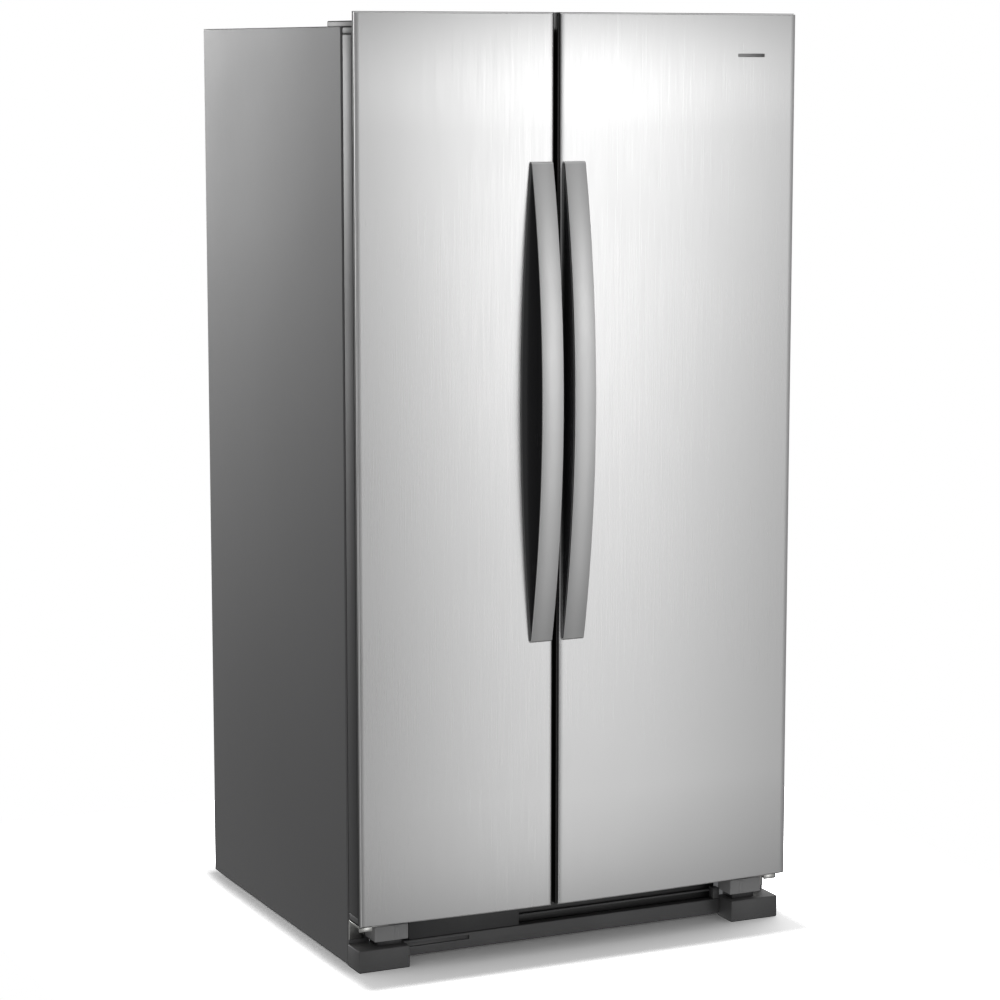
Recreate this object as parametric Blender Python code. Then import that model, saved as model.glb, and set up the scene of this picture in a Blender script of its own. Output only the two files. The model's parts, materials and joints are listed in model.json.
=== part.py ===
"""A free-standing side by side refrigerator, freezer on the left and fresh food on the right.

Metres, +Z up, doors facing -Y. The origin is on the floor, under the middle of the object's box.
Each piece is one object. Pieces that move hang under an empty on their joint's axis.
"""

import math

import bmesh
import bpy
from mathutils import Matrix, Vector

# Outer sizes
WIDTH = 0.900
PANEL_TOP = 1.7625
DOOR_BOTTOM = 0.093
CABINET_HALF = 0.446
CABINET_TOP = 1.7365
CABINET_FRONT = -0.293
CABINET_BACK = 0.435
FLOOR_GAP = 0.004
SHEET = 0.0012
GAP = 0.0003

# Doors
FRONT_EDGE = -0.368
DOOR_BOW = 0.014
BOW_RADIUS = (WIDTH * WIDTH / 4 + DOOR_BOW * DOOR_BOW) / (2 * DOOR_BOW)
PANEL_DEPTH = 0.005
FRAME_BACK = FRONT_EDGE + 0.014
BODY_BACK = FRONT_EDGE + 0.058
DOOR_BODY_TOP = 1.7345
FREEZER_STEEL_END = -0.066
FRIDGE_STEEL_END = -0.051
EDGE_TRIM = 0.0035
HINGE_X = 0.430
HINGE_Y = FRONT_EDGE + 0.038
DOOR_LINER_Z = (0.150, 1.665)
DIKE_BACK = FRONT_EDGE + 0.110
BIN_BACK = FRONT_EDGE + 0.165

# Handles: a strip bowed away from the door, on a hooked body with a crescent outline
HANDLE_Z = (0.6065, 1.4900)
HANDLE_WIDTH = 0.044
HANDLE_INNER = (-0.0675, -0.0465)
HANDLE_REACH = (0.0070, 0.0530)
HANDLE_CRESCENT = 0.0196
STRIP_THICK = 0.0026
PLATE_THICK = 0.0030
WALL_THICK = 0.0045
COVE_RADIUS = 0.010

# Compartments: each liner is a shell, open at the front, stepped over the machine compartment
FREEZER_X = (-0.403, -0.086)
FRIDGE_X = (-0.031, 0.403)
LINER_Z = (0.124, 1.696)
LINER_BACK = 0.367
LINER_WALL = 0.002
STEP_Y = (0.192, 0.272)
STEP_Z = 0.300
SHELF_FRONT = -0.183
DRAWER_Y = (-0.153, 0.168)
DRAWER_WALL = 0.0025

# Machine compartment and base
MACHINE_FRONT = 0.178
MACHINE_TOP = 0.262
PAN_FLOOR = 0.035
PAN_HALF = 0.4443
RAIL_X = 0.4015
ROLLER_RADIUS = 0.0165
ROLLER_Y = 0.365
AXLE_RADIUS = 0.004
FOOT_X = (0.344, 0.446)
FOOT_FRONT = FRONT_EDGE + 0.018
FOOT_TOP = 0.042

FINISHES = {
    "stainless": ((0.62, 0.62, 0.61), 0.32, 1.0),
    "grey_paint": ((0.20, 0.20, 0.21), 0.45, 0.0),
    "black_trim": ((0.015, 0.015, 0.015), 0.45, 0.0),
    "dark_handle": ((0.045, 0.046, 0.05), 0.30, 0.0),
    "dark_plastic": ((0.09, 0.09, 0.095), 0.50, 0.0),
    "white_liner": ((0.82, 0.83, 0.84), 0.35, 0.0),
    "clear_plastic": ((0.80, 0.85, 0.88), 0.12, 0.0),
    "gasket_rubber": ((0.05, 0.05, 0.05), 0.70, 0.0),
    "zinc_steel": ((0.60, 0.60, 0.58), 0.30, 1.0),
    "galvanised": ((0.50, 0.51, 0.52), 0.45, 1.0),
    "black_enamel": ((0.02, 0.02, 0.02), 0.35, 0.0),
    "aluminium": ((0.75, 0.76, 0.78), 0.35, 1.0),
    "foam": ((0.75, 0.62, 0.36), 0.90, 0.0),
}


def clear_scene():
    for obj in list(bpy.data.objects):
        bpy.data.objects.remove(obj, do_unlink=True)


def finish_material(slot):
    """The material of one finish, made the first time it is asked for."""
    found = bpy.data.materials.get(slot)
    if found:
        return found
    colour, roughness, metallic = FINISHES[slot]
    made = bpy.data.materials.new(slot)
    made.use_nodes = True
    shader = made.node_tree.nodes["Principled BSDF"]
    shader.inputs["Base Color"].default_value = (*colour, 1.0)
    shader.inputs["Roughness"].default_value = roughness
    shader.inputs["Metallic"].default_value = metallic
    return made


def from_bmesh(name, bm, slot, smooth=False):
    """A new object from a bmesh, with its faces turned outwards."""
    bmesh.ops.recalc_face_normals(bm, faces=bm.faces)
    mesh = bpy.data.meshes.new(name)
    bm.to_mesh(mesh)
    bm.free()
    mesh.materials.append(finish_material(slot))
    if smooth:
        mesh.shade_smooth()
        mesh.set_sharp_from_angle(angle=math.radians(35))
    obj = bpy.data.objects.new(name, mesh)
    bpy.context.scene.collection.objects.link(obj)
    return obj


def box(name, x, y, z, slot, rounding=0.0):
    """A box between two values on each axis, with its edges rounded if asked."""
    bm = bmesh.new()
    size = Vector((abs(x[1] - x[0]), abs(y[1] - y[0]), abs(z[1] - z[0])))
    centre = Vector((sum(x) / 2, sum(y) / 2, sum(z) / 2))
    bmesh.ops.create_cube(bm, size=1.0, matrix=Matrix.Translation(centre) @ Matrix.Diagonal((*size, 1.0)))
    if rounding:
        bmesh.ops.bevel(bm, geom=bm.edges[:], offset=rounding, segments=2, profile=0.5, affect="EDGES")
    return from_bmesh(name, bm, slot)


def prism(name, outline, span, along, slot):
    """A closed outline pushed along one axis. The outline's points are in the other two axes' order."""
    place = {
        "X": lambda p, h: (h, p[0], p[1]),
        "Y": lambda p, h: (p[0], h, p[1]),
        "Z": lambda p, h: (p[0], p[1], h),
    }[along]
    bm = bmesh.new()
    rings = [[bm.verts.new(place(p, h)) for p in outline] for h in span]
    bm.faces.new(rings[0])
    bm.faces.new(rings[1])
    for i in range(len(outline)):
        j = (i + 1) % len(outline)
        bm.faces.new((rings[0][i], rings[0][j], rings[1][j], rings[1][i]))
    return from_bmesh(name, bm, slot)


def loft(name, rings, slot, smooth=False):
    """Skins a row of rings that have the same number of points, and closes both ends."""
    bm = bmesh.new()
    rows = [[bm.verts.new(point) for point in ring] for ring in rings]
    for low, high in zip(rows, rows[1:]):
        for i in range(len(low)):
            j = (i + 1) % len(low)
            bm.faces.new((low[i], low[j], high[j], high[i]))
    bm.faces.new(rows[0])
    bm.faces.new(rows[-1])
    return from_bmesh(name, bm, slot, smooth)


def turned(name, profile, centre, axis, slot, sides=24):
    """A solid of revolution. The profile is (radius, height) from one pole or rim to the other."""
    turn = Vector((0, 0, 1)).rotation_difference(Vector(axis)).to_matrix()
    rings = []
    for radius, height in profile:
        angles = [2 * math.pi * k / sides for k in range(sides)]
        ring = [Vector((radius * math.cos(a), radius * math.sin(a), height)) for a in angles]
        rings.append([turn @ p + Vector(centre) for p in ring])
    return loft(name, rings, slot, smooth=True)


def rod(name, centre, axis, radius, span, slot, sides=16):
    """A plain cylinder from span[0] to span[1] along its axis, measured from its centre point."""
    return turned(name, [(radius, span[0]), (radius, span[1])], centre, axis, slot, sides)


def as_helper(obj):
    obj.hide_render = True
    obj.display_type = "WIRE"


def combine(obj, tools, operation):
    """Adds or cuts with other objects, which then become hidden helpers."""
    for tool in tools:
        as_helper(tool)
        step = obj.modifiers.new(f"{operation.lower()}_{tool.name}", "BOOLEAN")
        step.operation = operation
        step.object = tool
    return obj


def cut(obj, *tools):
    return combine(obj, tools, "DIFFERENCE")


def add(obj, *tools):
    return combine(obj, tools, "UNION")


def hang(joint, location, *pieces):
    """Parents pieces to an empty at a joint's axis, and moves each piece's origin there."""
    empty = bpy.data.objects.new(joint, None)
    empty.empty_display_size = 0.05
    empty.location = location
    bpy.context.scene.collection.objects.link(empty)
    for piece in pieces:
        piece.data.transform(Matrix.Translation(-Vector(location)))
        piece.parent = empty
    return empty


def pan(name, x, y, z, wall, floor, slot, draft=0.0):
    """An open tray whose pocket is narrower at the bottom by the draft on each side."""
    outer = box(name, x, y, z, slot)
    levels = ((z[0] + floor, draft), (z[1] + 0.01, 0.0))
    rings = []
    for height, inset in levels:
        left, right = x[0] + wall + inset, x[1] - wall - inset
        front, back = y[0] + wall + inset, y[1] - wall - inset
        corners = ((left, front), (right, front), (right, back), (left, back))
        rings.append([Vector((*corner, height)) for corner in corners])
    return cut(outer, loft(name + "_pocket", rings, slot))


def front_y(x):
    """The bowed front of the doors: one gentle arc across both."""
    return FRONT_EDGE - (math.sqrt(BOW_RADIUS * BOW_RADIUS - x * x) - (BOW_RADIUS - DOOR_BOW))


def bowed_slab(name, x, front_offset, back, z, slot, steps=10):
    """A slab whose front follows the door's bow. back is a flat depth, or None for an even thickness."""
    xs = [x[0] + (x[1] - x[0]) * i / steps for i in range(steps + 1)]
    front = [(v, front_y(v) + front_offset) for v in xs]
    if back is None:
        rear = [(v, front_y(v) + PANEL_DEPTH) for v in reversed(xs)]
    else:
        rear = [(xs[-1], back), (xs[0], back)]
    return prism(name, front + rear, z, "Z", slot)


def liner_outline(grow):
    """A compartment's side outline in Y and Z, with the step over the machine compartment."""
    low, high, back = LINER_Z[0] - grow, LINER_Z[1] + grow, LINER_BACK + grow
    front = CABINET_FRONT
    return [
        (front, low),
        (STEP_Y[0] + grow * 0.4, low),
        (STEP_Y[1] + grow * 0.4, STEP_Z - grow),
        (back, STEP_Z - grow),
        (back, high),
        (front, high),
    ]


def open_front(outline):
    """The same outline carried forward of the cabinet, so that it cuts the front open."""
    return [(y - 0.02 if y <= CABINET_FRONT else y, z) for y, z in outline]


def build_cabinet_shell():
    """Side panels with front flanges, top, back, the strip between the compartments, foam and liners."""
    flange = CABINET_HALF - FRIDGE_X[1] - GAP
    for side, name in ((-1, "left"), (1, "right")):
        outline = [
            (side * CABINET_HALF, CABINET_FRONT),
            (side * (CABINET_HALF - flange), CABINET_FRONT),
            (side * (CABINET_HALF - flange), CABINET_FRONT + SHEET),
            (side * (CABINET_HALF - SHEET), CABINET_FRONT + SHEET),
            (side * (CABINET_HALF - SHEET), CABINET_BACK),
            (side * CABINET_HALF, CABINET_BACK),
        ]
        prism(f"cabinet_side_{name}", outline, (FLOOR_GAP, CABINET_TOP - SHEET - GAP), "Z", "grey_paint")

    top_low = CABINET_TOP - SHEET
    top_outline = [
        (CABINET_FRONT, CABINET_TOP),
        (CABINET_BACK, CABINET_TOP),
        (CABINET_BACK, top_low),
        (CABINET_FRONT + SHEET, top_low),
        (CABINET_FRONT + SHEET, LINER_Z[1] + GAP),
        (CABINET_FRONT, LINER_Z[1] + GAP),
    ]
    top = prism("cabinet_top", top_outline, (-CABINET_HALF, CABINET_HALF), "X", "grey_paint")
    for side in (-1, 1):
        corner_x = sorted((side * 0.402, side * 0.460))
        corner_y = (CABINET_FRONT - 0.01, CABINET_FRONT + 0.01)
        cut(top, box(f"top_corner_{side + 1}", corner_x, corner_y, (1.60, top_low), "grey_paint"))

    inside = CABINET_HALF - SHEET - GAP
    back_y = (CABINET_BACK - SHEET, CABINET_BACK)
    box("cabinet_back", (-inside, inside), back_y, (MACHINE_TOP + 0.002, top_low - GAP), "galvanised")
    mullion_x = (FREEZER_X[1] + GAP, FRIDGE_X[0] - GAP)
    mullion_y = (CABINET_FRONT, CABINET_FRONT + SHEET)
    box("mullion_strip", mullion_x, mullion_y, (LINER_Z[0] - GAP, LINER_Z[1]), "grey_paint")

    foam_front = CABINET_FRONT + SHEET + GAP
    foam_back = CABINET_BACK - SHEET - GAP
    foam_outline = [
        (foam_front, 0.0950),
        (MACHINE_FRONT + 0.0015, 0.0950),
        (0.257, MACHINE_TOP),
        (foam_back, MACHINE_TOP),
        (foam_back, top_low - GAP),
        (foam_front, top_low - GAP),
    ]
    foam = prism("cabinet_foam", foam_outline, (-inside + GAP, inside - GAP), "X", "foam")
    for name, x in (("freezer", FREEZER_X), ("fridge", FRIDGE_X)):
        liner = prism(f"{name}_liner", liner_outline(0.0), x, "X", "white_liner")
        inner_x = (x[0] + LINER_WALL, x[1] - LINER_WALL)
        inner = prism(f"{name}_room", open_front(liner_outline(-LINER_WALL)), inner_x, "X", "white_liner")
        cut(liner, inner)
        around = open_front(liner_outline(GAP))
        cut(foam, prism(f"{name}_foam_pocket", around, (x[0] - GAP, x[1] + GAP), "X", "foam"))
    return top, foam


def build_switches(top, foam):
    """Sprung plungers that the closed doors press, each in a hole above its compartment."""
    height = 1.7290
    tip = BODY_BACK + GAP
    for name, x in (("freezer", -0.200), ("fridge", 0.200)):
        centre = (x, 0.0, height)
        for obj in (top, foam):
            bore = rod(f"{name}_bore_{obj.name}", centre, (0, 1, 0), 0.0038, (-0.32, -0.266), "foam", 12)
            cut(obj, bore)
        plunger = rod(f"{name}_door_switch", centre, (0, 1, 0), 0.0035, (tip, -0.270), "white_liner", 12)
        hang(f"{name}_switch_axis", (x, tip, height), plunger)


def build_base():
    """The steel base with its rails and axles, the rear rollers, the feet and the toe grille."""
    front = CABINET_FRONT
    floor_top = PAN_FLOOR + SHEET
    deck = 0.0935
    deck_front = front + SHEET + GAP
    outline = [
        (deck_front, deck),
        (MACHINE_FRONT, deck),
        (MACHINE_FRONT, PAN_FLOOR),
        (CABINET_BACK - 0.002, PAN_FLOOR),
        (CABINET_BACK - 0.002, floor_top),
        (MACHINE_FRONT + SHEET, floor_top),
        (MACHINE_FRONT + SHEET, deck + SHEET),
        (deck_front, deck + SHEET),
    ]
    base = prism("base_pan", outline, (-PAN_HALF, PAN_HALF), "X", "galvanised")
    flange_half = FRIDGE_X[1] - GAP
    flange_y = (front, deck_front + SHEET)
    hem = box("pan_hem", (-flange_half, flange_half), flange_y, (deck, deck + SHEET), "galvanised")
    flange_z = (deck, LINER_Z[0] - 2 * GAP)
    flange = box("pan_flange", (-flange_half, flange_half), (front, front + SHEET), flange_z, "galvanised")
    add(base, hem, flange)
    for side, name in ((-1, "left"), (1, "right")):
        rail_x = sorted((side * RAIL_X, side * (RAIL_X + 0.003)))
        rail = box(f"rail_{name}", rail_x, (-0.270, CABINET_BACK - 0.002), (0.010, deck + 0.001), "galvanised")
        start = (side * RAIL_X, ROLLER_Y, ROLLER_RADIUS)
        axle = rod(f"axle_{name}", start, (side, 0, 0), AXLE_RADIUS, (-0.001, 0.036), "galvanised", 12)
        add(base, rail, axle)
        profile = [(AXLE_RADIUS + GAP, 0.006), (ROLLER_RADIUS - 0.001, 0.006), (ROLLER_RADIUS, 0.007)]
        profile += [(ROLLER_RADIUS, 0.027), (ROLLER_RADIUS - 0.001, 0.028), (AXLE_RADIUS + GAP, 0.028)]
        roller = ring_of(f"roller_{name}", profile, start, (side, 0, 0), "dark_plastic")
        hang(f"roller_{name}_axis", (side * (RAIL_X + 0.017), ROLLER_Y, ROLLER_RADIUS), roller)
        build_foot(side, name)
    build_toe_grille()


def ring_of(name, profile, centre, axis, slot, sides=24):
    """A turned ring with a bore: the profile closes on itself round the section."""
    turn = Vector((0, 0, 1)).rotation_difference(Vector(axis)).to_matrix()
    bm = bmesh.new()
    rows = []
    for k in range(sides):
        a = 2 * math.pi * k / sides
        row = [Vector((r * math.cos(a), r * math.sin(a), h)) for r, h in profile]
        rows.append([bm.verts.new(turn @ p + Vector(centre)) for p in row])
    for k in range(sides):
        here, there = rows[k], rows[(k + 1) % sides]
        for i in range(len(profile)):
            j = (i + 1) % len(profile)
            bm.faces.new((here[i], here[j], there[j], there[i]))
    return from_bmesh(name, bm, slot, smooth=True)


def build_foot(side, name):
    """A block on the floor, a short neck, and the bracket block under the door's corner."""
    outer, inner = side * FOOT_X[1], side * FOOT_X[0]
    foot_x = sorted((outer, inner))
    back = CABINET_FRONT - 0.0005
    foot = box(f"front_foot_{name}", foot_x, (FOOT_FRONT, back), (0.0, FOOT_TOP), "dark_plastic", 0.0015)
    block_x = sorted((inner, inner + side * 0.068))
    neck_x = sorted((inner + side * 0.010, inner + side * 0.058))
    neck = box(f"foot_neck_{name}", neck_x, (FOOT_FRONT + 0.016, back - 0.001), (0.038, 0.056), "dark_plastic")
    block_y = (FOOT_FRONT + 0.006, back)
    block = box(f"foot_block_{name}", block_x, block_y, (0.053, 0.0835), "dark_plastic", 0.001)
    add(foot, neck, block)


def build_toe_grille():
    """A low bar between the feet, a removable panel over its left part, and one thin slat beside it."""
    bar_y = (FRONT_EDGE + 0.066, FRONT_EDGE + 0.084)
    half = FOOT_X[0] - 0.001
    grille = box("toe_grille", (-half, half), bar_y, (0.006, 0.036), "dark_plastic", 0.001)
    thin_y = (bar_y[1] - 0.006, bar_y[1])
    panel = box("grille_panel", (-0.325, -0.095), (bar_y[0] + 0.001, bar_y[0] + 0.005), (0.030, 0.086), "dark_plastic")
    slat = box("grille_slat", (-0.100, half), thin_y, (0.050, 0.0535), "dark_plastic")
    post = box("grille_post", (half - 0.014, half), bar_y, (0.030, 0.058), "dark_plastic")
    link = box("grille_link", (-0.105, -0.095), (bar_y[0] + 0.002, bar_y[1]), (0.030, 0.060), "dark_plastic")
    add(grille, panel, post, link, slat)


def build_hinges(side, name, door_body):
    """Top and bottom hinge plates with their pins, the cover over the top one, and the door's sockets."""
    pin_at = (side * HINGE_X, HINGE_Y, 0.0)
    plate_x = sorted((side * 0.4365, side * 0.384))
    plate_y = (HINGE_Y - 0.0075, CABINET_FRONT + 0.085)
    top_low = CABINET_TOP + GAP
    top_plate = box(f"top_hinge_{name}", plate_x, plate_y, (top_low, top_low + 0.003), "zinc_steel")
    top_pin = rod(f"top_pin_{name}", pin_at, (0, 0, 1), 0.0040, (1.706, top_low + 0.001), "zinc_steel")
    add(top_plate, top_pin)
    cover_x = sorted((side * 0.4380, side * 0.3825))
    cover_y = (plate_y[0] - 0.0015, plate_y[1] + 0.0015)
    cover = box(f"hinge_cover_{name}", cover_x, cover_y, (top_low, CABINET_TOP + 0.010), "black_trim", 0.0008)
    hollow_x = (cover_x[0] + 0.0012, cover_x[1] - 0.0012)
    hollow_y = (cover_y[0] + 0.0012, cover_y[1] - 0.0012)
    cut(cover, box(f"cover_hollow_{name}", hollow_x, hollow_y, (1.70, CABINET_TOP + 0.0085), "black_trim"))

    low_x = sorted((side * 0.4445, side * 0.384))
    low_y = (HINGE_Y - 0.016, CABINET_FRONT - 0.0005)
    low_plate = box(f"bottom_hinge_{name}", low_x, low_y, (0.0845, 0.0885), "zinc_steel")
    leg_x = sorted((side * 0.4445, side * 0.4135))
    leg = box(f"bottom_leg_{name}", leg_x, (low_y[1] - 0.003, low_y[1]), (0.050, 0.086), "zinc_steel")
    low_pin = rod(f"bottom_pin_{name}", pin_at, (0, 0, 1), 0.0050, (0.0870, 0.1180), "zinc_steel")
    add(low_plate, leg, low_pin)
    low_socket = rod(f"low_socket_{name}", pin_at, (0, 0, 1), 0.0053, (0.05, 0.122), "grey_paint")
    top_socket = rod(f"top_socket_{name}", pin_at, (0, 0, 1), 0.0043, (1.702, 1.80), "grey_paint")
    cut(door_body, low_socket, top_socket)


def handle_ring(side, t, section):
    """One level of a handle. section lists (distance from the inner edge, reach from the door)."""
    inner = HANDLE_INNER[0] if side < 0 else HANDLE_INNER[1]
    height = HANDLE_Z[0] + (HANDLE_Z[1] - HANDLE_Z[0]) * (t + 1) / 2
    points = []
    for across, reach in section:
        x = inner + side * across
        points.append(Vector((x, front_y(x) - reach, height)))
    return points


def handle_reach(t):
    return HANDLE_REACH[0] + (HANDLE_REACH[1] - HANDLE_REACH[0]) * (1 - t * t)


def strip_section(t):
    front = handle_reach(t)
    back = front - STRIP_THICK
    lip = 0.0008
    return [(0, back), (HANDLE_WIDTH, back), (HANDLE_WIDTH, front - lip), (HANDLE_WIDTH - lip, front), (lip, front), (0, front - lip)]


def body_section(t):
    """A plate against the door that ends in a rounded wall up to the strip."""
    edge = HANDLE_WIDTH + HANDLE_CRESCENT * (1 - t * t)
    top = handle_reach(t) - STRIP_THICK - GAP
    radius = min(COVE_RADIUS, (top - PLATE_THICK) * 0.85)
    section = [(0, GAP), (edge, GAP), (edge, PLATE_THICK * 0.4), (edge - 0.002, PLATE_THICK)]
    for k in range(5):
        a = math.pi / 2 * k / 4
        section.append((WALL_THICK + radius * (1 - math.sin(a)), PLATE_THICK + radius * (1 - math.cos(a))))
    section += [(WALL_THICK, top), (0, top)]
    return section


def build_handle(side, name):
    steps = 20
    levels = [-1 + 2 * i / steps for i in range(steps + 1)]
    strip = loft(f"{name}_handle_strip", [handle_ring(side, t, strip_section(t)) for t in levels], "stainless")
    body = loft(f"{name}_handle_body", [handle_ring(side, t, body_section(t)) for t in levels], "dark_handle")
    return [strip, body]


def door_span(side, from_hinge):
    """An X range given as distances from the hinge axis towards the door's free edge."""
    return sorted(side * HINGE_X - side * d for d in from_hinge)


def build_door(side, name, steel_x, liner_free, gasket_free, bins):
    """One door: steel panel, black frame, body, inner liner with its raised rim, gasket, bins and handle."""
    free = steel_x[1] + EDGE_TRIM if side < 0 else steel_x[0] - EDGE_TRIM
    outer = side * WIDTH / 2
    full_x = sorted((outer, free))
    frame_x = sorted((outer - side * 0.0006, free))
    z = (DOOR_BOTTOM, PANEL_TOP)
    panel = bowed_slab(f"{name}_door_panel", steel_x, 0.0, None, z, "stainless")
    frame_z = (DOOR_BOTTOM + 0.0006, PANEL_TOP - 0.0006)
    frame = bowed_slab(f"{name}_door_frame", frame_x, PANEL_DEPTH + GAP, FRAME_BACK, frame_z, "black_trim")
    body_z = (DOOR_BOTTOM + 0.002, DOOR_BODY_TOP)
    body = box(f"{name}_door_body", full_x, (FRAME_BACK + GAP, BODY_BACK), body_z, "grey_paint")
    build_hinges(side, "left" if side < 0 else "right", body)

    flange_y = (BODY_BACK + GAP, BODY_BACK + GAP + 0.002)
    flange_z = (0.0965, 1.7225)
    flange_x = door_span(side, (0.003, gasket_free + 0.019))
    liner = box(f"{name}_door_liner", flange_x, flange_y, flange_z, "white_liner")
    rim_x = door_span(side, (0.058, liner_free))
    rim_y = (flange_y[1] - 0.001, DIKE_BACK)
    add(liner, box(f"{name}_rim", rim_x, rim_y, DOOR_LINER_Z, "white_liner"))
    hollow_x = (rim_x[0] + 0.002, rim_x[1] - 0.002)
    hollow_y = (flange_y[1], DIKE_BACK + 0.01)
    hollow_z = (DOOR_LINER_Z[0] + 0.002, DOOR_LINER_Z[1] - 0.002)
    cut(liner, box(f"{name}_rim_hollow", hollow_x, hollow_y, hollow_z, "white_liner"))

    gasket_y = (flange_y[1] + GAP, CABINET_FRONT - GAP)
    gasket_x = door_span(side, (0.004, gasket_free + 0.018))
    gasket = box(f"{name}_gasket", gasket_x, gasket_y, (0.0975, 1.7200), "gasket_rubber")
    open_x = (gasket_x[0] + 0.018, gasket_x[1] - 0.018)
    open_y = (gasket_y[0] - 0.01, gasket_y[1] + 0.01)
    cut(gasket, box(f"{name}_gasket_hole", open_x, open_y, (0.1155, 1.7020), "gasket_rubber"))

    pieces = [panel, frame, body, liner, gasket]
    bin_x = (hollow_x[0] + 0.0005, hollow_x[1] - 0.0005)
    for label, low, height in bins:
        bin_y = (flange_y[1] + GAP, BIN_BACK)
        shelf = pan(f"{name}_{label}", bin_x, bin_y, (low, low + height), 0.0022, 0.0025, "clear_plastic", 0.002)
        pieces.append(shelf)
    pieces += build_handle(side, name)
    hang(f"{name}_door_axis", (side * HINGE_X, HINGE_Y, 0.0), *pieces)


def shelf(name, x, y, top):
    """A plate with a deeper bar along its front edge and a low one at the back."""
    outline = [
        (y[0], top),
        (y[1], top),
        (y[1], top - 0.012),
        (y[1] - 0.004, top - 0.012),
        (y[1] - 0.004, top - 0.005),
        (y[0] + 0.006, top - 0.005),
        (y[0] + 0.006, top - 0.020),
        (y[0], top - 0.020),
    ]
    prism(name, outline, x, "X", "clear_plastic")


def drawer(name, x, z, slot):
    """An open box on a slide, with a pull along the top of its front."""
    body = pan(name, x, DRAWER_Y, z, DRAWER_WALL, 0.003, slot, 0.004)
    pull_x = (x[0] + 0.02, x[1] - 0.02)
    pull_y = (DRAWER_Y[0] - 0.010, DRAWER_Y[0] + 0.001)
    add(body, box(f"{name}_pull", pull_x, pull_y, (z[1] - 0.022, z[1] - 0.004), slot))
    hang(f"{name}_axis", (sum(x) / 2, DRAWER_Y[0], z[0]), body)


def build_fridge_room():
    """Shelves, the frame that holds the two crispers, the control housing with its knobs, and the lamp."""
    inner = (FRIDGE_X[0] + LINER_WALL + 0.0015, FRIDGE_X[1] - LINER_WALL - 0.0015)
    for name, top in (("fridge_shelf_upper", 1.300), ("fridge_shelf_lower", 0.940)):
        shelf(name, inner, (SHELF_FRONT, LINER_BACK - LINER_WALL - 0.003), top)

    low = LINER_Z[0] + LINER_WALL + GAP
    frame_y = (DRAWER_Y[0] + 0.004, DRAWER_Y[1] + 0.016)
    frame = box("crisper_frame", inner, frame_y, (low, 0.640), "white_liner")
    room_x = (inner[0] + 0.003, inner[1] - 0.003)
    room_y = (frame_y[0] - 0.01, frame_y[1] + 0.01)
    rooms = ((low - 0.01, 0.376), (0.382, 0.634))
    for number, room_z in enumerate(rooms):
        cut(frame, box(f"crisper_room_{number}", room_x, room_y, room_z, "white_liner"))
    drawer_x = (room_x[0] + 0.003, room_x[1] - 0.003)
    drawer("crisper_lower", drawer_x, (low + 0.001, 0.366), "clear_plastic")
    drawer("crisper_upper", drawer_x, (0.385, 0.626), "clear_plastic")

    ceiling = LINER_Z[1] - LINER_WALL - GAP
    housing_y = (-0.178, -0.050)
    box("control_housing", inner, housing_y, (1.636, ceiling), "white_liner", 0.003)
    for name, x in (("freezer_knob", 0.105), ("fridge_knob", 0.265)):
        centre = (x, housing_y[0] - GAP, 1.665)
        profile = [(0.016, 0.0), (0.018, 0.001), (0.018, 0.006), (0.012, 0.008)]
        profile += [(0.011, 0.0145), (0.010, 0.0155)]
        hang(f"{name}_axis", centre, turned(name, profile, centre, (0, -1, 0), "dark_plastic"))
    box("lamp_lens", (0.100, 0.270), (-0.030, 0.070), (1.662, ceiling), "clear_plastic", 0.006)


def comb(name, x, y, z, fins, slot):
    """A finned block: plates on one spine, pushed up along Z."""
    spine = y[0] + (y[1] - y[0]) * 0.35
    pitch = (x[1] - x[0]) / (2 * fins - 1)
    outline = [(x[1], y[0]), (x[0], y[0])]
    for k in range(fins):
        start = x[0] + 2 * k * pitch
        outline += [(start, y[1]), (start + pitch, y[1])]
        if k < fins - 1:
            outline += [(start + pitch, spine), (start + 2 * pitch, spine)]
    prism(name, outline, z, "Z", slot)


def fan(name, centre, axis, radius, depth, joint):
    """A hub with five pitched blades."""
    hub = rod(name, centre, axis, radius * 0.30, (-depth / 2, depth / 2), "dark_plastic", 16)
    turn = Vector((0, 0, 1)).rotation_difference(Vector(axis)).to_matrix().to_4x4()
    for k in range(5):
        bm = bmesh.new()
        size = (radius * 0.75, radius * 0.52, 0.0022, 1.0)
        bmesh.ops.create_cube(bm, size=1.0, matrix=Matrix.Diagonal(size))
        pitch = Matrix.Rotation(math.radians(28), 4, "X")
        out = Matrix.Translation((radius * 0.605, 0, 0))
        around = Matrix.Rotation(2 * math.pi * k / 5, 4, "Z")
        bmesh.ops.transform(bm, matrix=Matrix.Translation(centre) @ turn @ around @ out @ pitch, verts=bm.verts)
        add(hub, from_bmesh(f"{name}_blade_{k}", bm, "dark_plastic"))
    hang(joint, centre, hub)


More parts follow.
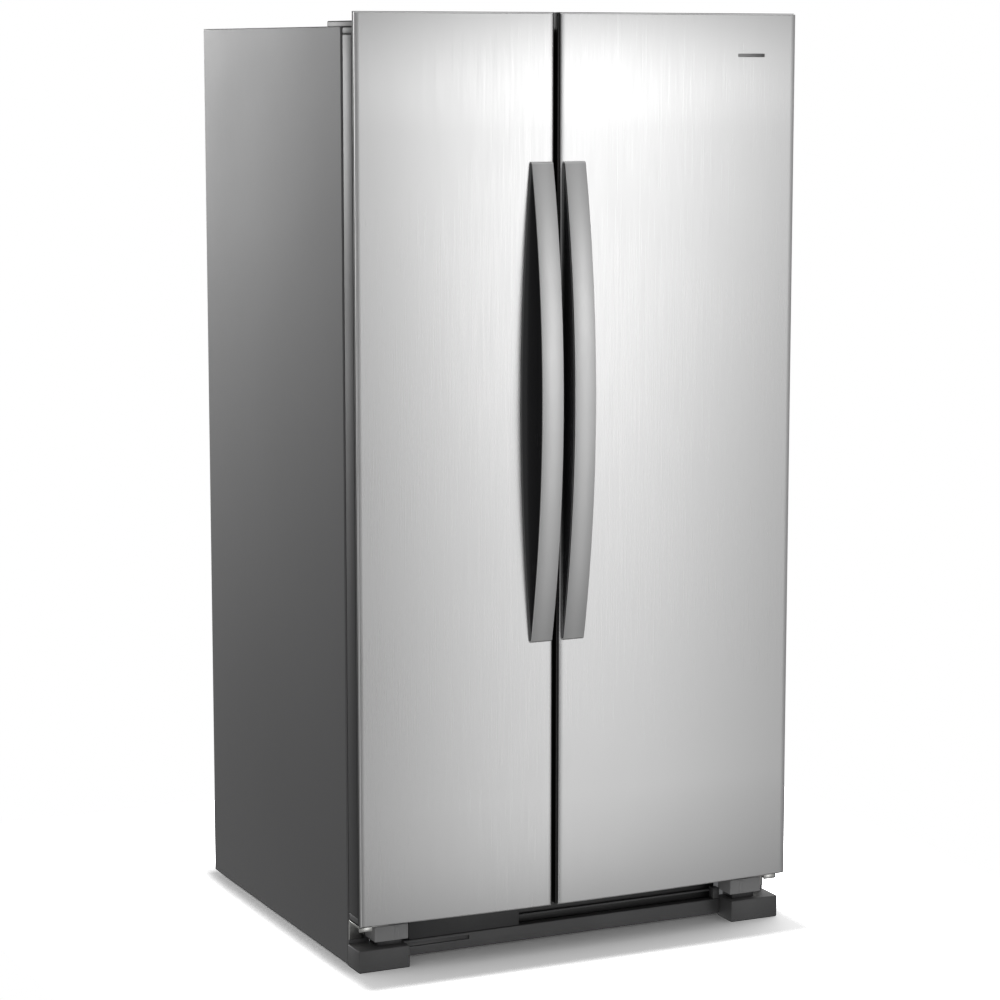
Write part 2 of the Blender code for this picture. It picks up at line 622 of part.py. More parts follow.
def build_freezer_room():
    """Shelves, the pull-out basket, and the evaporator with its fan behind a cover."""
    inner = (FREEZER_X[0] + LINER_WALL + 0.0015, FREEZER_X[1] - LINER_WALL - 0.0015)
    cover_y = (0.300, 0.303)
    for name, top in (("freezer_shelf_upper", 1.240), ("freezer_shelf_lower", 0.820)):
        shelf(name, inner, (SHELF_FRONT, cover_y[0] - 0.002), top)
    low = LINER_Z[0] + LINER_WALL + GAP
    basket_x = (inner[0] + 0.010, inner[1] - 0.004)
    drawer("freezer_basket", basket_x, (low + 0.001, 0.400), "white_liner")

    cover = box("evaporator_cover", inner, cover_y, (STEP_Z + LINER_WALL + 0.001, 1.150), "white_liner")
    centre_x = sum(inner) / 2
    for k in range(7):
        slot_z = 1.000 + 0.015 * k
        slot_box = ((centre_x - 0.060, centre_x + 0.060), (0.29, 0.31), (slot_z, slot_z + 0.007))
        cut(cover, box(f"cover_slot_{k}", *slot_box, "white_liner"))
    comb("evaporator_coil", (centre_x - 0.135, centre_x + 0.135), (0.310, 0.355), (0.380, 0.860), 12, "aluminium")
    fan("evaporator_fan", (centre_x, 0.333, 1.045), (0, 1, 0), 0.055, 0.024, "evaporator_fan_axis")


def build_machine():
    """Compressor, condenser, fan, drain pan and the slotted cover of the machine compartment."""
    floor = PAN_FLOOR + SHEET + GAP
    profile = [(0.040, 0.0), (0.062, 0.004), (0.078, 0.022), (0.082, 0.050), (0.082, 0.095)]
    profile += [(0.078, 0.130), (0.060, 0.152), (0.030, 0.162)]
    turned("compressor", profile, (0.270, 0.325, floor), (0, 0, 1), "black_enamel", 28)
    pan("drain_pan", (-0.330, -0.040), (0.205, 0.415), (floor, floor + 0.025), 0.0015, 0.0015, "dark_plastic")
    comb("condenser_coil", (-0.300, -0.070), (0.255, 0.395), (floor + 0.030, 0.215), 14, "black_enamel")
    fan("condenser_fan", (0.060, 0.310, 0.135), (1, 0, 0), 0.068, 0.030, "condenser_fan_axis")

    inside = CABINET_HALF - SHEET - GAP
    cover_z = (PAN_FLOOR - 0.005, MACHINE_TOP + 0.0015)
    cover = box("machine_cover", (-inside, inside), (CABINET_BACK - SHEET, CABINET_BACK), cover_z, "galvanised")
    through = (CABINET_BACK - 0.01, CABINET_BACK + 0.01)
    for group in (-0.300, 0.100):
        for k in range(8):
            left = group + 0.022 * k
            cut(cover, box(f"vent_{left:.3f}", (left, left + 0.008), through, (0.090, 0.210), "galvanised"))
    gland_at = (0.370, CABINET_BACK, 0.060)
    cut(cover, rod("gland_hole", gland_at, (0, 1, 0), 0.0093, (-0.01, 0.01), "galvanised"))
    profile = [(0.0042, -0.008), (0.0090, -0.008), (0.0090, -GAP), (0.0042, -GAP)]
    ring_of("cord_gland", profile, gland_at, (0, 1, 0), "black_trim", 20)


def main():
    clear_scene()
    top, foam = build_cabinet_shell()
    build_switches(top, foam)
    build_base()
    freezer_bins = (("bin", 0.560, 0.095),)
    fridge_bins = (("bin_upper", 1.240, 0.110), ("bin_lower", 0.480, 0.120))
    freezer_steel = (-WIDTH / 2, FREEZER_STEEL_END)
    fridge_steel = (FRIDGE_STEEL_END, WIDTH / 2)
    build_door(-1, "freezer", freezer_steel, 0.312, 0.3455, freezer_bins)
    build_door(1, "fridge", fridge_steel, 0.432, 0.4635, fridge_bins)
    build_fridge_room()
    build_freezer_room()
    build_machine()


main()
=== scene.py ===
# %% [markdown]
# # A side by side refrigerator
# The freezer is behind the narrow door on the left, fresh food behind the wide one on the right.
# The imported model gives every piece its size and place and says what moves. This script gives
# each piece its finer shape and its finish, one cell at a time.

# %% Load the frame
import json
import math

import bmesh
import bpy
from mathutils import Matrix, Vector


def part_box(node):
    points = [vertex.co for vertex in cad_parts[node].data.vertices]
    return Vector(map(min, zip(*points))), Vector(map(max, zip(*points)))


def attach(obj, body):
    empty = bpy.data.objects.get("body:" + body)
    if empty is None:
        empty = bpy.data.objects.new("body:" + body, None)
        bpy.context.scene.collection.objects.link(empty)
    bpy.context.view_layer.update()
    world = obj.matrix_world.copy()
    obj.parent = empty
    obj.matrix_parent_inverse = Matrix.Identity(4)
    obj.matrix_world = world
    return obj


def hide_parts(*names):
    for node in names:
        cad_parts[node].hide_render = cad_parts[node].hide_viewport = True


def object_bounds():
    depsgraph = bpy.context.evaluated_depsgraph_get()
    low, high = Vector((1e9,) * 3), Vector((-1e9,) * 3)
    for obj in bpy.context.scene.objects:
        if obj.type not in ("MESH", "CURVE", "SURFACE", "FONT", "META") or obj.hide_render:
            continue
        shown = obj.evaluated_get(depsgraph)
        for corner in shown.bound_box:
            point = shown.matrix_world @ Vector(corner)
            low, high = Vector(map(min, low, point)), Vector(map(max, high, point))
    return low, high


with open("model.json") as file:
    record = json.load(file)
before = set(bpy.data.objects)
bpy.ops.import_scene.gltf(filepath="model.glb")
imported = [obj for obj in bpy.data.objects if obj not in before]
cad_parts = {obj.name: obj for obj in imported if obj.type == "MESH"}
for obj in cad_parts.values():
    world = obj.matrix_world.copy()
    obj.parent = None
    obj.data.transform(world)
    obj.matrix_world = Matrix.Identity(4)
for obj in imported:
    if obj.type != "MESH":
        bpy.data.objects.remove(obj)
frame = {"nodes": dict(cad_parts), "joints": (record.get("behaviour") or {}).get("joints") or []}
nodes = frame["nodes"]
cad_low, cad_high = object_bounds()
print("object box in metres:", [round(v, 4) for v in (*cad_low, *cad_high)])

# %% [markdown]
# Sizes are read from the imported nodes, so a change there moves everything here. A few values
# belong to the look alone, such as how far the two doors bow together: one gentle arc, 14 mm deep.

# %% Named sizes
DOOR_BOW = 0.014
SHEET = 0.0012
GAP = 0.0003
half_width = (cad_high.x - cad_low.x) / 2
bow_radius = (half_width**2 + DOOR_BOW**2) / (2 * DOOR_BOW)
freezer_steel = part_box("freezer_door_panel")
fridge_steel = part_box("fridge_door_panel")
side_low, side_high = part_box("cabinet_side_left")
cabinet_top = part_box("cabinet_top")[1].z
cabinet_front, cabinet_back = side_low.y, side_high.y
door_ends_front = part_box("freezer_door_frame")[1].y - 0.014


def bowed_front(x):
    """The front of the doors at x: an arc that is furthest forward at the middle."""
    return door_ends_front + bow_radius - DOOR_BOW - math.sqrt(bow_radius**2 - x * x)


print("bow radius:", round(bow_radius, 3), "door ends at y", round(door_ends_front, 4))

# %% [markdown]
# ## Tools of the bench
# Most pieces are sheets, mouldings and extrusions. A few helpers make those: a mesh from points,
# a skin over a row of rings, a block with rolled edges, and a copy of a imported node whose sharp
# edges get the small radius that pressing or moulding leaves.

# %% Mesh helpers
SMOOTH_ANGLE = math.radians(32)


def new_object(name, bm, outwards=True):
    """An object from a bmesh, with its place in its mesh."""
    if outwards:
        bmesh.ops.recalc_face_normals(bm, faces=bm.faces)
    mesh = bpy.data.meshes.new(name)
    bm.to_mesh(mesh)
    bm.free()
    obj = bpy.data.objects.new(name, mesh)
    bpy.context.scene.collection.objects.link(obj)
    return obj


def skin(name, rings, capped=True):
    """Joins rings of equal length with quads, and closes both ends."""
    bm = bmesh.new()
    rows = [[bm.verts.new(point) for point in ring] for ring in rings]
    for low, high in zip(rows, rows[1:]):
        for i in range(len(low)):
            j = (i + 1) % len(low)
            bm.faces.new((low[i], low[j], high[j], high[i]))
    if capped:
        bm.faces.new(rows[0])
        bm.faces.new(rows[-1])
    return new_object(name, bm)


def loop_closed(name, bm, rows):
    """Joins rows of vertices all the way round, so that the last meets the first."""
    for k, row in enumerate(rows):
        following = rows[(k + 1) % len(rows)]
        for i in range(len(row)):
            j = (i + 1) % len(row)
            bm.faces.new((row[i], row[j], following[j], following[i]))
    return new_object(name, bm)


def extrude(name, outline, span, along):
    """Pushes a closed outline along one axis. Its points are in the other two axes' order."""
    place = {
        "X": lambda p, h: (h, p[0], p[1]),
        "Y": lambda p, h: (p[0], h, p[1]),
        "Z": lambda p, h: (p[0], p[1], h),
    }[along]
    return skin(name, [[place(p, h) for p in outline] for h in span])


def block(name, x, y, z, rounding=0.001, segments=2):
    """A block between two values on each axis, with rolled edges."""
    bm = bmesh.new()
    size = Vector((abs(x[1] - x[0]), abs(y[1] - y[0]), abs(z[1] - z[0])))
    centre = Vector((sum(x) / 2, sum(y) / 2, sum(z) / 2))
    place = Matrix.Translation(centre) @ Matrix.Diagonal((*size, 1.0))
    bmesh.ops.create_cube(bm, size=1.0, matrix=place)
    rounding = min(rounding, min(size) * 0.45)
    bmesh.ops.bevel(bm, geom=bm.edges[:], offset=rounding, segments=segments, profile=0.5, affect="EDGES")
    return new_object(name, bm)


def turned(name, profile, centre, axis, sides=32):
    """A solid of revolution from (radius, height) pairs, from one end to the other."""
    turn = Vector((0, 0, 1)).rotation_difference(Vector(axis)).to_matrix()
    rings = []
    for radius, height in profile:
        angles = [2 * math.pi * k / sides for k in range(sides)]
        ring = [Vector((radius * math.cos(a), radius * math.sin(a), height)) for a in angles]
        rings.append([turn @ p + Vector(centre) for p in ring])
    return skin(name, rings)


def applied(obj):
    """Bakes an object's modifiers into its mesh."""
    graph = bpy.context.evaluated_depsgraph_get()
    mesh = bpy.data.meshes.new_from_object(obj.evaluated_get(graph))
    obj.modifiers.clear()
    obj.data = mesh
    return obj


def hollowed(obj, cutter):
    """Cuts one solid out of another, and drops the cutter."""
    cut = obj.modifiers.new("cut", "BOOLEAN")
    cut.operation = "DIFFERENCE"
    cut.object = cutter
    cut.solver = "EXACT"
    applied(obj)
    bpy.data.objects.remove(cutter)


def softened(node, name, radius, segments=2, sharp=30):
    """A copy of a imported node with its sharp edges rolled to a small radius."""
    bm = bmesh.new()
    bm.from_mesh(nodes[node].data)
    bmesh.ops.remove_doubles(bm, verts=bm.verts, dist=1e-5)
    bmesh.ops.dissolve_limit(bm, angle_limit=math.radians(1), verts=bm.verts, edges=bm.edges)
    obj = new_object(name, bm, outwards=False)
    roll = obj.modifiers.new("roll", "BEVEL")
    roll.width = radius
    roll.segments = segments
    roll.limit_method = "ANGLE"
    roll.angle_limit = math.radians(sharp)
    roll.use_clamp_overlap = True
    return applied(obj)


def joined(name, *objects):
    """Several objects made one piece."""
    bm = bmesh.new()
    for obj in objects:
        bm.from_mesh(obj.data)
        bpy.data.objects.remove(obj)
    return new_object(name, bm, outwards=False)


def fit(obj, material, body, stands_for=()):
    """Finishes a piece: its material, smooth shading, the body it rides on and what it stands for."""
    obj.data.materials.clear()
    obj.data.materials.append(material)
    obj.data.shade_smooth()
    obj.data.set_sharp_from_angle(angle=SMOOTH_ANGLE)
    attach(obj, body)
    if stands_for:
        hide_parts(*stands_for)
    print(f"{obj.name}: {len(obj.data.polygons)} faces on {body}")
    return obj


def eased(node_name, name, radius, material, segments=2):
    """A packed cabinet node, softened and finished in its own place."""
    return fit(softened(node_name, name, radius, segments), material, "cabinet", [node_name])


def within(low, high, margin):
    """A span pulled in by a margin at both ends."""
    return (low + margin, high - margin)


# %% [markdown]
# ## Shared effects
# A finish is more than a colour. Steel and painted sheet show a drawn grain, mouldings a fine
# pitting, everything a slightly uneven film from handling, and ledges a little dust. Each effect is
# one node group with named inputs, so every material can use it with its own values.

# %% Start a group
def start_group(name, inputs, outputs):
    """An empty node group with named sockets. Each input is (label, socket type, value)."""
    tree = bpy.data.node_groups.new(name, "ShaderNodeTree")
    for label, kind, value in inputs:
        socket = tree.interface.new_socket(name=label, in_out="INPUT", socket_type=kind)
        socket.default_value = value
    for label, kind in outputs:
        tree.interface.new_socket(name=label, in_out="OUTPUT", socket_type=kind)
    return tree, tree.nodes.new("NodeGroupInput").outputs, tree.nodes.new("NodeGroupOutput")


def node(tree, kind, inputs=None, **settings):
    """Adds a node, sets its properties, and sets or links its inputs by name or number."""
    found = tree.nodes.new(kind)
    for key, value in settings.items():
        setattr(found, key, value)
    for key, value in (inputs or {}).items():
        if isinstance(value, bpy.types.NodeSocket):
            tree.links.new(value, found.inputs[key])
        else:
            found.inputs[key].default_value = value
    return found


def maths(tree, operation, first, second=None, **settings):
    """The result of one Math node."""
    inputs = {0: first} if second is None else {0: first, 1: second}
    return node(tree, "ShaderNodeMath", inputs, operation=operation, **settings).outputs[0]


# %% [markdown]
# Drawn grain is noise pulled long along one direction. The stretch is given in cycles per metre
# on each axis: hundreds across the grain and only a few along it.

# %% Drawn grain
grain_group, given, out = start_group(
    "Drawn Grain",
    [("Place", "NodeSocketVector", (0, 0, 0)), ("Cycles", "NodeSocketVector", (900, 900, 8))],
    [("Streak", "NodeSocketFloat")],
)
pulled = node(
    grain_group, "ShaderNodeVectorMath", {0: given["Place"], 1: given["Cycles"]}, operation="MULTIPLY",
)
lines = node(
    grain_group, "ShaderNodeTexNoise",
    {"Vector": pulled.outputs[0], "Scale": 1.0, "Detail": 3.0, "Roughness": 0.65},
)
spread = node(
    grain_group, "ShaderNodeMapRange",
    {"Value": lines.outputs["Fac"], "From Min": 0.32, "From Max": 0.68, "To Min": 0.0, "To Max": 1.0},
)
grain_group.links.new(spread.outputs["Result"], out.inputs["Streak"])
print(grain_group.name, "ready")

# %% [markdown]
# Moulded plastic and powder paint are pitted like fine orange peel. Two sizes of noise laid over
# each other give that, with a height for the bump.

# %% Fine pitting
pitting_group, given, out = start_group(
    "Fine Pitting",
    [("Place", "NodeSocketVector", (0, 0, 0)), ("Cycles", "NodeSocketFloat", 900.0)],
    [("Height", "NodeSocketFloat")],
)
peel = node(
    pitting_group, "ShaderNodeTexNoise", {"Vector": given["Place"], "Scale": given["Cycles"], "Detail": 2.0},
)
cells = node(pitting_group, "ShaderNodeTexVoronoi", {"Vector": given["Place"], "Scale": given["Cycles"]})
both = maths(pitting_group, "ADD", peel.outputs["Fac"], cells.outputs["Distance"])
pitting_group.links.new(both, out.inputs["Height"])
print(pitting_group.name, "ready")

# %% [markdown]
# No surface is even all over: wiping and touching leave broad patches, a little more or less
# glossy. This group turns broad noise into a value between two limits, for roughness or tone.

# %% Uneven film
film_group, given, out = start_group(
    "Uneven Film",
    [
        ("Place", "NodeSocketVector", (0, 0, 0)),
        ("Cycles", "NodeSocketFloat", 3.0),
        ("Low", "NodeSocketFloat", 0.0),
        ("High", "NodeSocketFloat", 1.0),
    ],
    [("Value", "NodeSocketFloat")],
)
broad = node(
    film_group, "ShaderNodeTexNoise",
    {"Vector": given["Place"], "Scale": given["Cycles"], "Detail": 4.0, "Roughness": 0.55},
)
limits = node(
    film_group, "ShaderNodeMapRange",
    {
        "Value": broad.outputs["Fac"], "From Min": 0.3, "From Max": 0.7,
        "To Min": given["Low"], "To Max": given["High"],
    },
)
film_group.links.new(limits.outputs["Result"], out.inputs["Value"])
print(film_group.name, "ready")

# %% [markdown]
# Dust settles on what faces up. The mask is the upward part of the normal, broken up by noise.

# %% Settled dust
dust_group, given, out = start_group(
    "Settled Dust",
    [("Place", "NodeSocketVector", (0, 0, 0)), ("Amount", "NodeSocketFloat", 0.2)],
    [("Mask", "NodeSocketFloat")],
)
facing = node(dust_group, "ShaderNodeNewGeometry")
parts = node(dust_group, "ShaderNodeSeparateXYZ", {0: facing.outputs["Normal"]})
upward = node(
    dust_group, "ShaderNodeMapRange", {"Value": parts.outputs["Z"], "From Min": 0.55, "From Max": 0.98},
)
motes = node(dust_group, "ShaderNodeTexNoise", {"Vector": given["Place"], "Scale": 38.0, "Detail": 5.0})
broken = maths(dust_group, "MULTIPLY", upward.outputs["Result"], motes.outputs["Fac"])
weighed = maths(dust_group, "MULTIPLY", broken, given["Amount"], use_clamp=True)
dust_group.links.new(weighed, out.inputs["Mask"])
print(dust_group.name, "ready")

# %% [markdown]
# Edges are touched most, so paint and plastic go a little paler there; the paler tone is also a
# painted highlight along the edges. The Bevel node gives the normal that a rounded edge would have:
# where it differs from the true one is an edge.

# %% Worn and highlit edges
edge_group, given, out = start_group(
    "Worn And Highlit Edges",
    [("Reach", "NodeSocketFloat", 0.0015), ("Amount", "NodeSocketFloat", 0.5)],
    [("Mask", "NodeSocketFloat")],
)
rounded = node(edge_group, "ShaderNodeBevel", {"Radius": given["Reach"]}, samples=3)
true_normal = node(edge_group, "ShaderNodeNewGeometry")
alike = node(
    edge_group, "ShaderNodeVectorMath", {0: rounded.outputs[0], 1: true_normal.outputs["Normal"]},
    operation="DOT_PRODUCT",
)
edge_band = node(
    edge_group, "ShaderNodeMapRange", {"Value": alike.outputs["Value"], "From Min": 0.995, "From Max": 0.86},
)
edge_amount = maths(edge_group, "MULTIPLY", edge_band.outputs["Result"], given["Amount"], use_clamp=True)
edge_group.links.new(edge_amount, out.inputs["Mask"])
print(edge_group.name, "ready")

# %% [markdown]
# ## One recipe, many finishes
# Every finish here is the same stack: a tone that drifts a little, a grain or a pitting that feeds
# the bump, a film that moves the roughness, edges paled by wear and by a painted highlight, and dust.
# A finish is then one call with its own values. Whatever is the same all over the surface is set on
# the shader itself.

# %% The recipe
def grouped(tree, group, inputs):
    """Places a shared effect in a material."""
    found = tree.nodes.new("ShaderNodeGroup")
    found.node_tree = group
    for key, value in inputs.items():
        if isinstance(value, bpy.types.NodeSocket):
            tree.links.new(value, found.inputs[key])
        else:
            found.inputs[key].default_value = value
    return found


def blended(tree, amount, first, second, how="MIX"):
    """A colour mix whose inputs may be colours or sockets."""
    mix = tree.nodes.new("ShaderNodeMix")
    mix.data_type = "RGBA"
    mix.blend_type = how
    for key, value in (("Factor", amount), ("A", first), ("B", second)):
        socket = next(s for s in mix.inputs if s.name == key and s.enabled)
        if isinstance(value, bpy.types.NodeSocket):
            tree.links.new(value, socket)
        else:
            socket.default_value = value
    return next(s for s in mix.outputs if s.enabled)


def finish(name, colour, rough, metallic=0.0, drift=0.06, grain=None, grain_depth=0.0, pits=None, pit_depth=0.0,
           edges=0.0, edge_tone=None, dust=0.0, film=3.0, constants=None):
    """A material. rough is (low, high); grain is cycles per metre on each axis; depths are in metres."""
    material = bpy.data.materials.new(name)
    material.use_nodes = True
    tree = material.node_tree
    shader = tree.nodes["Principled BSDF"]
    place = node(tree, "ShaderNodeTexCoord").outputs["Object"]
    tone = grouped(tree, film_group, {"Place": place, "Cycles": film * 0.7, "Low": 0.0, "High": 1.0}).outputs[0]
    dark = tuple(c * (1 - drift) for c in colour) + (1.0,)
    light = tuple(min(c * (1 + drift), 1.0) for c in colour) + (1.0,)
    shade = blended(tree, tone, dark, light)
    roughness = grouped(
        tree, film_group, {"Place": place, "Cycles": film, "Low": rough[0], "High": rough[1]},
    ).outputs[0]
    normal = None
    if grain:
        streak = grouped(tree, grain_group, {"Place": place, "Cycles": grain}).outputs[0]
        shade = blended(tree, streak, blended(tree, 0.5, shade, dark), shade)
        wider = node(tree, "ShaderNodeMapRange", {"Value": streak, "To Min": -0.02, "To Max": 0.03})
        roughness = maths(tree, "ADD", roughness, wider.outputs[0])
        normal = node(tree, "ShaderNodeBump", {"Height": streak, "Strength": 1.0, "Distance": grain_depth})
    if pits:
        height = grouped(tree, pitting_group, {"Place": place, "Cycles": pits}).outputs[0]
        pitted = node(tree, "ShaderNodeBump", {"Height": height, "Strength": 1.0, "Distance": pit_depth})
        if normal:
            tree.links.new(normal.outputs[0], pitted.inputs["Normal"])
        normal = pitted
    # Edges take a paler tone: partly wear, partly a painted highlight along the edges.
    if edges:
        worn_highlit_edge = grouped(tree, edge_group, {"Reach": 0.0014, "Amount": edges}).outputs[0]
        shade = blended(tree, worn_highlit_edge, shade, (*(edge_tone or light[:3]), 1.0))
    if dust:
        settled = grouped(tree, dust_group, {"Place": place, "Amount": dust}).outputs[0]
        shade = blended(tree, settled, shade, (0.42, 0.41, 0.39, 1.0))
        dulled = maths(tree, "MULTIPLY", settled, 0.5)
        roughness = maths(tree, "ADD", roughness, dulled, use_clamp=True)
    tree.links.new(shade, shader.inputs["Base Color"])
    tree.links.new(roughness, shader.inputs["Roughness"])
    if normal:
        tree.links.new(normal.outputs[0], shader.inputs["Normal"])
    shader.inputs["Metallic"].default_value = metallic
    for key, value in (constants or {}).items():
        shader.inputs[key].default_value = value
    print("finish:", name)
    return material


# %% [markdown]
# ## The finishes
# The doors are stainless steel with a fine upright grain under a clear film that keeps fingerprints
# off, so the sheen is soft. The handle strips are brushed a little coarser and brighter.

# %% Metals
door_steel = finish(
    "door_steel", (
        0.60, 0.60, 0.60,
    ), (0.27, 0.31), metallic=1.0, drift=0.012, grain=(1500, 1500, 7), grain_depth=0.0000016,
    film=1.2,
)
strip_steel = finish(
    "strip_steel", (
        0.60, 0.60, 0.60,
    ), (0.35, 0.41), metallic=1.0, drift=0.03, grain=(900, 900, 5), grain_depth=0.000006,
    film=4.0, edges=0.7, edge_tone=(0.85, 0.85, 0.85),
)
zinc_plate = finish(
    "zinc_plate", (
        0.62, 0.62, 0.60,
    ), (0.16, 0.30), metallic=1.0, drift=0.10, pits=700, pit_depth=0.00003, film=40,
)
galvanised_sheet = finish(
    "galvanised_sheet", (0.46, 0.47, 0.48), (0.38, 0.52), metallic=1.0, drift=0.13, pits=160, pit_depth=0.00004,
    dust=0.25, film=22,
)
fin_metal = finish(
    "fin_metal", (
        0.70, 0.71, 0.72,
    ), (0.30, 0.42), metallic=1.0, drift=0.06, grain=(60, 60, 900), grain_depth=0.00001,
)

# %% [markdown]
# The cabinet is wrapped in grey prepainted steel with a fine upright texture. The doors' sides wear
# a plainer, much darker grey.

# %% Paints
cabinet_paint = finish(
    "cabinet_paint", (
        0.105, 0.105, 0.107,
    ), (0.30, 0.36), drift=0.05, grain=(1100, 1100, 60), grain_depth=0.000012,
    pits=1600, pit_depth=0.00001, edges=0.5, edge_tone=(0.30, 0.30, 0.30), dust=0.18, film=2.0,
    constants={"Specular IOR Level": 0.6},
)
door_side_grey = finish(
    "door_side_grey", (
        0.032, 0.032, 0.033,
    ), (0.36, 0.44), drift=0.05, grain=(1100, 1100, 60), grain_depth=0.00001,
    pits=1500, pit_depth=0.00001, edges=0.4, edge_tone=(0.10, 0.10, 0.10), film=3.0,
)
black_enamel = finish(
    "black_enamel", (
        0.012, 0.012, 0.013,
    ), (0.22, 0.34), drift=0.2, pits=500, pit_depth=0.00003, dust=0.35, film=9,
    constants={"Coat Weight": 0.4, "Coat Roughness": 0.15},
)

# %% [markdown]
# Plastics make up the rest: satin black for trims and covers, glossy charcoal behind the handle
# strips, grained dark grey at the feet and toe grille, smooth white for the liners.

# %% Plastics and rubber
black_trim = finish(
    "black_trim", (0.006, 0.006, 0.006), (0.34, 0.44), drift=0.2, pits=1400, pit_depth=0.000012, edges=0.25,
    edge_tone=(0.04, 0.04, 0.04), film=8,
)
handle_gloss = finish(
    "handle_gloss", (
        0.036, 0.036, 0.038,
    ), (0.20, 0.28), drift=0.08, grain=(500, 500, 30), grain_depth=0.000003, film=6,
    edges=0.5, edge_tone=(0.16, 0.16, 0.165), constants={"Coat Weight": 0.5, "Coat Roughness": 0.08},
)
foot_plastic = finish(
    "foot_plastic", (0.074, 0.074, 0.075), (0.40, 0.50), drift=0.08, pits=1100, pit_depth=0.00003, edges=0.8,
    edge_tone=(0.20, 0.20, 0.205), dust=0.10, film=12,
)
dark_moulding = finish(
    "dark_moulding", (0.030, 0.030, 0.031), (0.38, 0.50), drift=0.1, pits=900, pit_depth=0.00003, edges=0.4,
    edge_tone=(0.10, 0.10, 0.10), dust=0.15, film=12,
)
liner_white = finish(
    "liner_white", (0.80, 0.81, 0.82), (0.24, 0.34), drift=0.015, pits=420, pit_depth=0.00002, film=4,
    constants={"Subsurface Weight": 0.0},
)
part_white = finish(
    "part_white", (0.84, 0.845, 0.85), (0.32, 0.42), drift=0.012, pits=1300, pit_depth=0.000012, film=6,
)
gasket_rubber = finish(
    "gasket_rubber", (0.016, 0.016, 0.017), (0.55, 0.70), drift=0.12, pits=700, pit_depth=0.00002, film=14,
)
foam_fill = finish(
    "foam_fill", (0.72, 0.58, 0.30), (0.85, 0.95), drift=0.12, pits=260, pit_depth=0.0004, film=20,
)

# %% [markdown]
# ## The door skins
# Each door front is one steel sheet, bowed across both doors and rolled over at its edges. A grid
# with rows set close together near the rim gives the roll, and its depth follows a quarter circle,
# so light runs along the edge as it does on pressed sheet.

# %% A bowed sheet
def stations(low, high, radius, rows, middle):
    """Positions from edge to edge, close together where the edge rolls over."""
    edge = [radius * (1 - math.cos(math.pi / 2 * k / rows)) for k in range(rows)]
    flat = [low + radius + (high - low - 2 * radius) * k / middle for k in range(middle + 1)]
    return [low + e for e in edge] + flat + [high - e for e in reversed(edge)]


def bowed_sheet(name, x, z, radius, offset, back, columns=36):
    """A closed sheet with a bowed, rolled front. back is ("deep", depth) or ("flat", y)."""
    bm = bmesh.new()
    grid = []
    xs, zs = stations(*x, radius, 4, columns), stations(*z, radius, 4, 8)
    for a in xs:
        column = []
        for h in zs:
            across = max(0.0, radius - min(a - x[0], x[1] - a))
            up = max(0.0, radius - min(h - z[0], z[1] - h))
            reach = min(radius, math.hypot(across, up))
            drop = radius - math.sqrt(radius * radius - reach * reach)
            column.append(bm.verts.new((a, bowed_front(a) + offset + drop, h)))
        grid.append(column)
    for left, right in zip(grid, grid[1:]):
        for j in range(len(zs) - 1):
            bm.faces.new((left[j], right[j], right[j + 1], left[j + 1]))

    def behind(vert):
        depth = bowed_front(vert.co.x) + offset + back[1] if back[0] == "deep" else back[1]
        return bm.verts.new((vert.co.x, depth, vert.co.z))

    low, high = [behind(c[0]) for c in grid], [behind(c[-1]) for c in grid]
    left = [low[0], *[behind(v) for v in grid[0][1:-1]], high[0]]
    right = [low[-1], *[behind(v) for v in grid[-1][1:-1]], high[-1]]
    for front, rear in (
        ([c[0] for c in grid], low),
        ([c[-1] for c in grid], high),
        (grid[0], left),
        (grid[-1], right),
    ):
        for i in range(len(front) - 1):
            bm.faces.new((front[i], front[i + 1], rear[i + 1], rear[i]))
    last = len(grid) - 1
    for i in range(last):
        if i == 0:
            bm.faces.new((*left, high[1], low[1]))
        elif i == last - 1:
            bm.faces.new((*right, high[i], low[i]))
        else:
            bm.faces.new((low[i], low[i + 1], high[i + 1], high[i]))
    return new_object(name, bm)


EDGE_ROLL = 0.0022
RIM_LINE = 0.0012
PANEL_DEPTH = 0.005
for door in ("freezer", "fridge"):
    low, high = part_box(f"{door}_door_panel")
    skin_z = (low.z, high.z - RIM_LINE)
    door_skin = bowed_sheet(
        f"{door}_door_skin", (low.x, high.x), skin_z, EDGE_ROLL, 0.0, ("deep", PANEL_DEPTH), 60,
    )
    fit(door_skin, door_steel, f"{door}_door", [f"{door}_door_panel"])
    rim_low, rim_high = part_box(f"{door}_door_frame")
    rim_z = (rim_low.z, high.z)
    rim = bowed_sheet(
        f"{door}_door_rim", (rim_low.x, rim_high.x), rim_z, 0.0008, PANEL_DEPTH + GAP, ("flat", rim_high.y), 30,
    )
    fit(rim, black_trim, f"{door}_door", [f"{door}_door_frame"])

# %% [markdown]
# Behind the black rim is the door itself: a painted wrapper with a moulded cap at each end, set
# lower than the steel front. The caps are a little paler, and the wrapper's edges are rolled.

# %% Door bodies and end caps
CAP_HEIGHT = 0.012
end_cap_grey = finish(
    "end_cap_grey", (0.085, 0.085, 0.086), (0.38, 0.48), drift=0.06, pits=1000, pit_depth=0.00002, edges=0.6,
    edge_tone=(0.22, 0.22, 0.22), dust=0.15, film=10,
)
for door in ("freezer", "fridge"):
    low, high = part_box(f"{door}_door_body")
    wrap_z = (low.z + CAP_HEIGHT, high.z - CAP_HEIGHT)
    wrapper = block(f"{door}_door_wrapper", (low.x, high.x), (low.y, high.y), wrap_z, 0.0022, 3)
    fit(wrapper, door_side_grey, f"{door}_door", [f"{door}_door_body"])
    for place, cap_z in (("lower", (low.z, wrap_z[0] - GAP)), ("upper", (wrap_z[1] + GAP, high.z))):
        cap = block(
            f"{door}_{place}_cap", within(low.x, high.x, 0.0004), (low.y, high.y - 0.0004), cap_z, 0.0016, 3,
        )
        fit(cap, end_cap_grey, f"{door}_door")

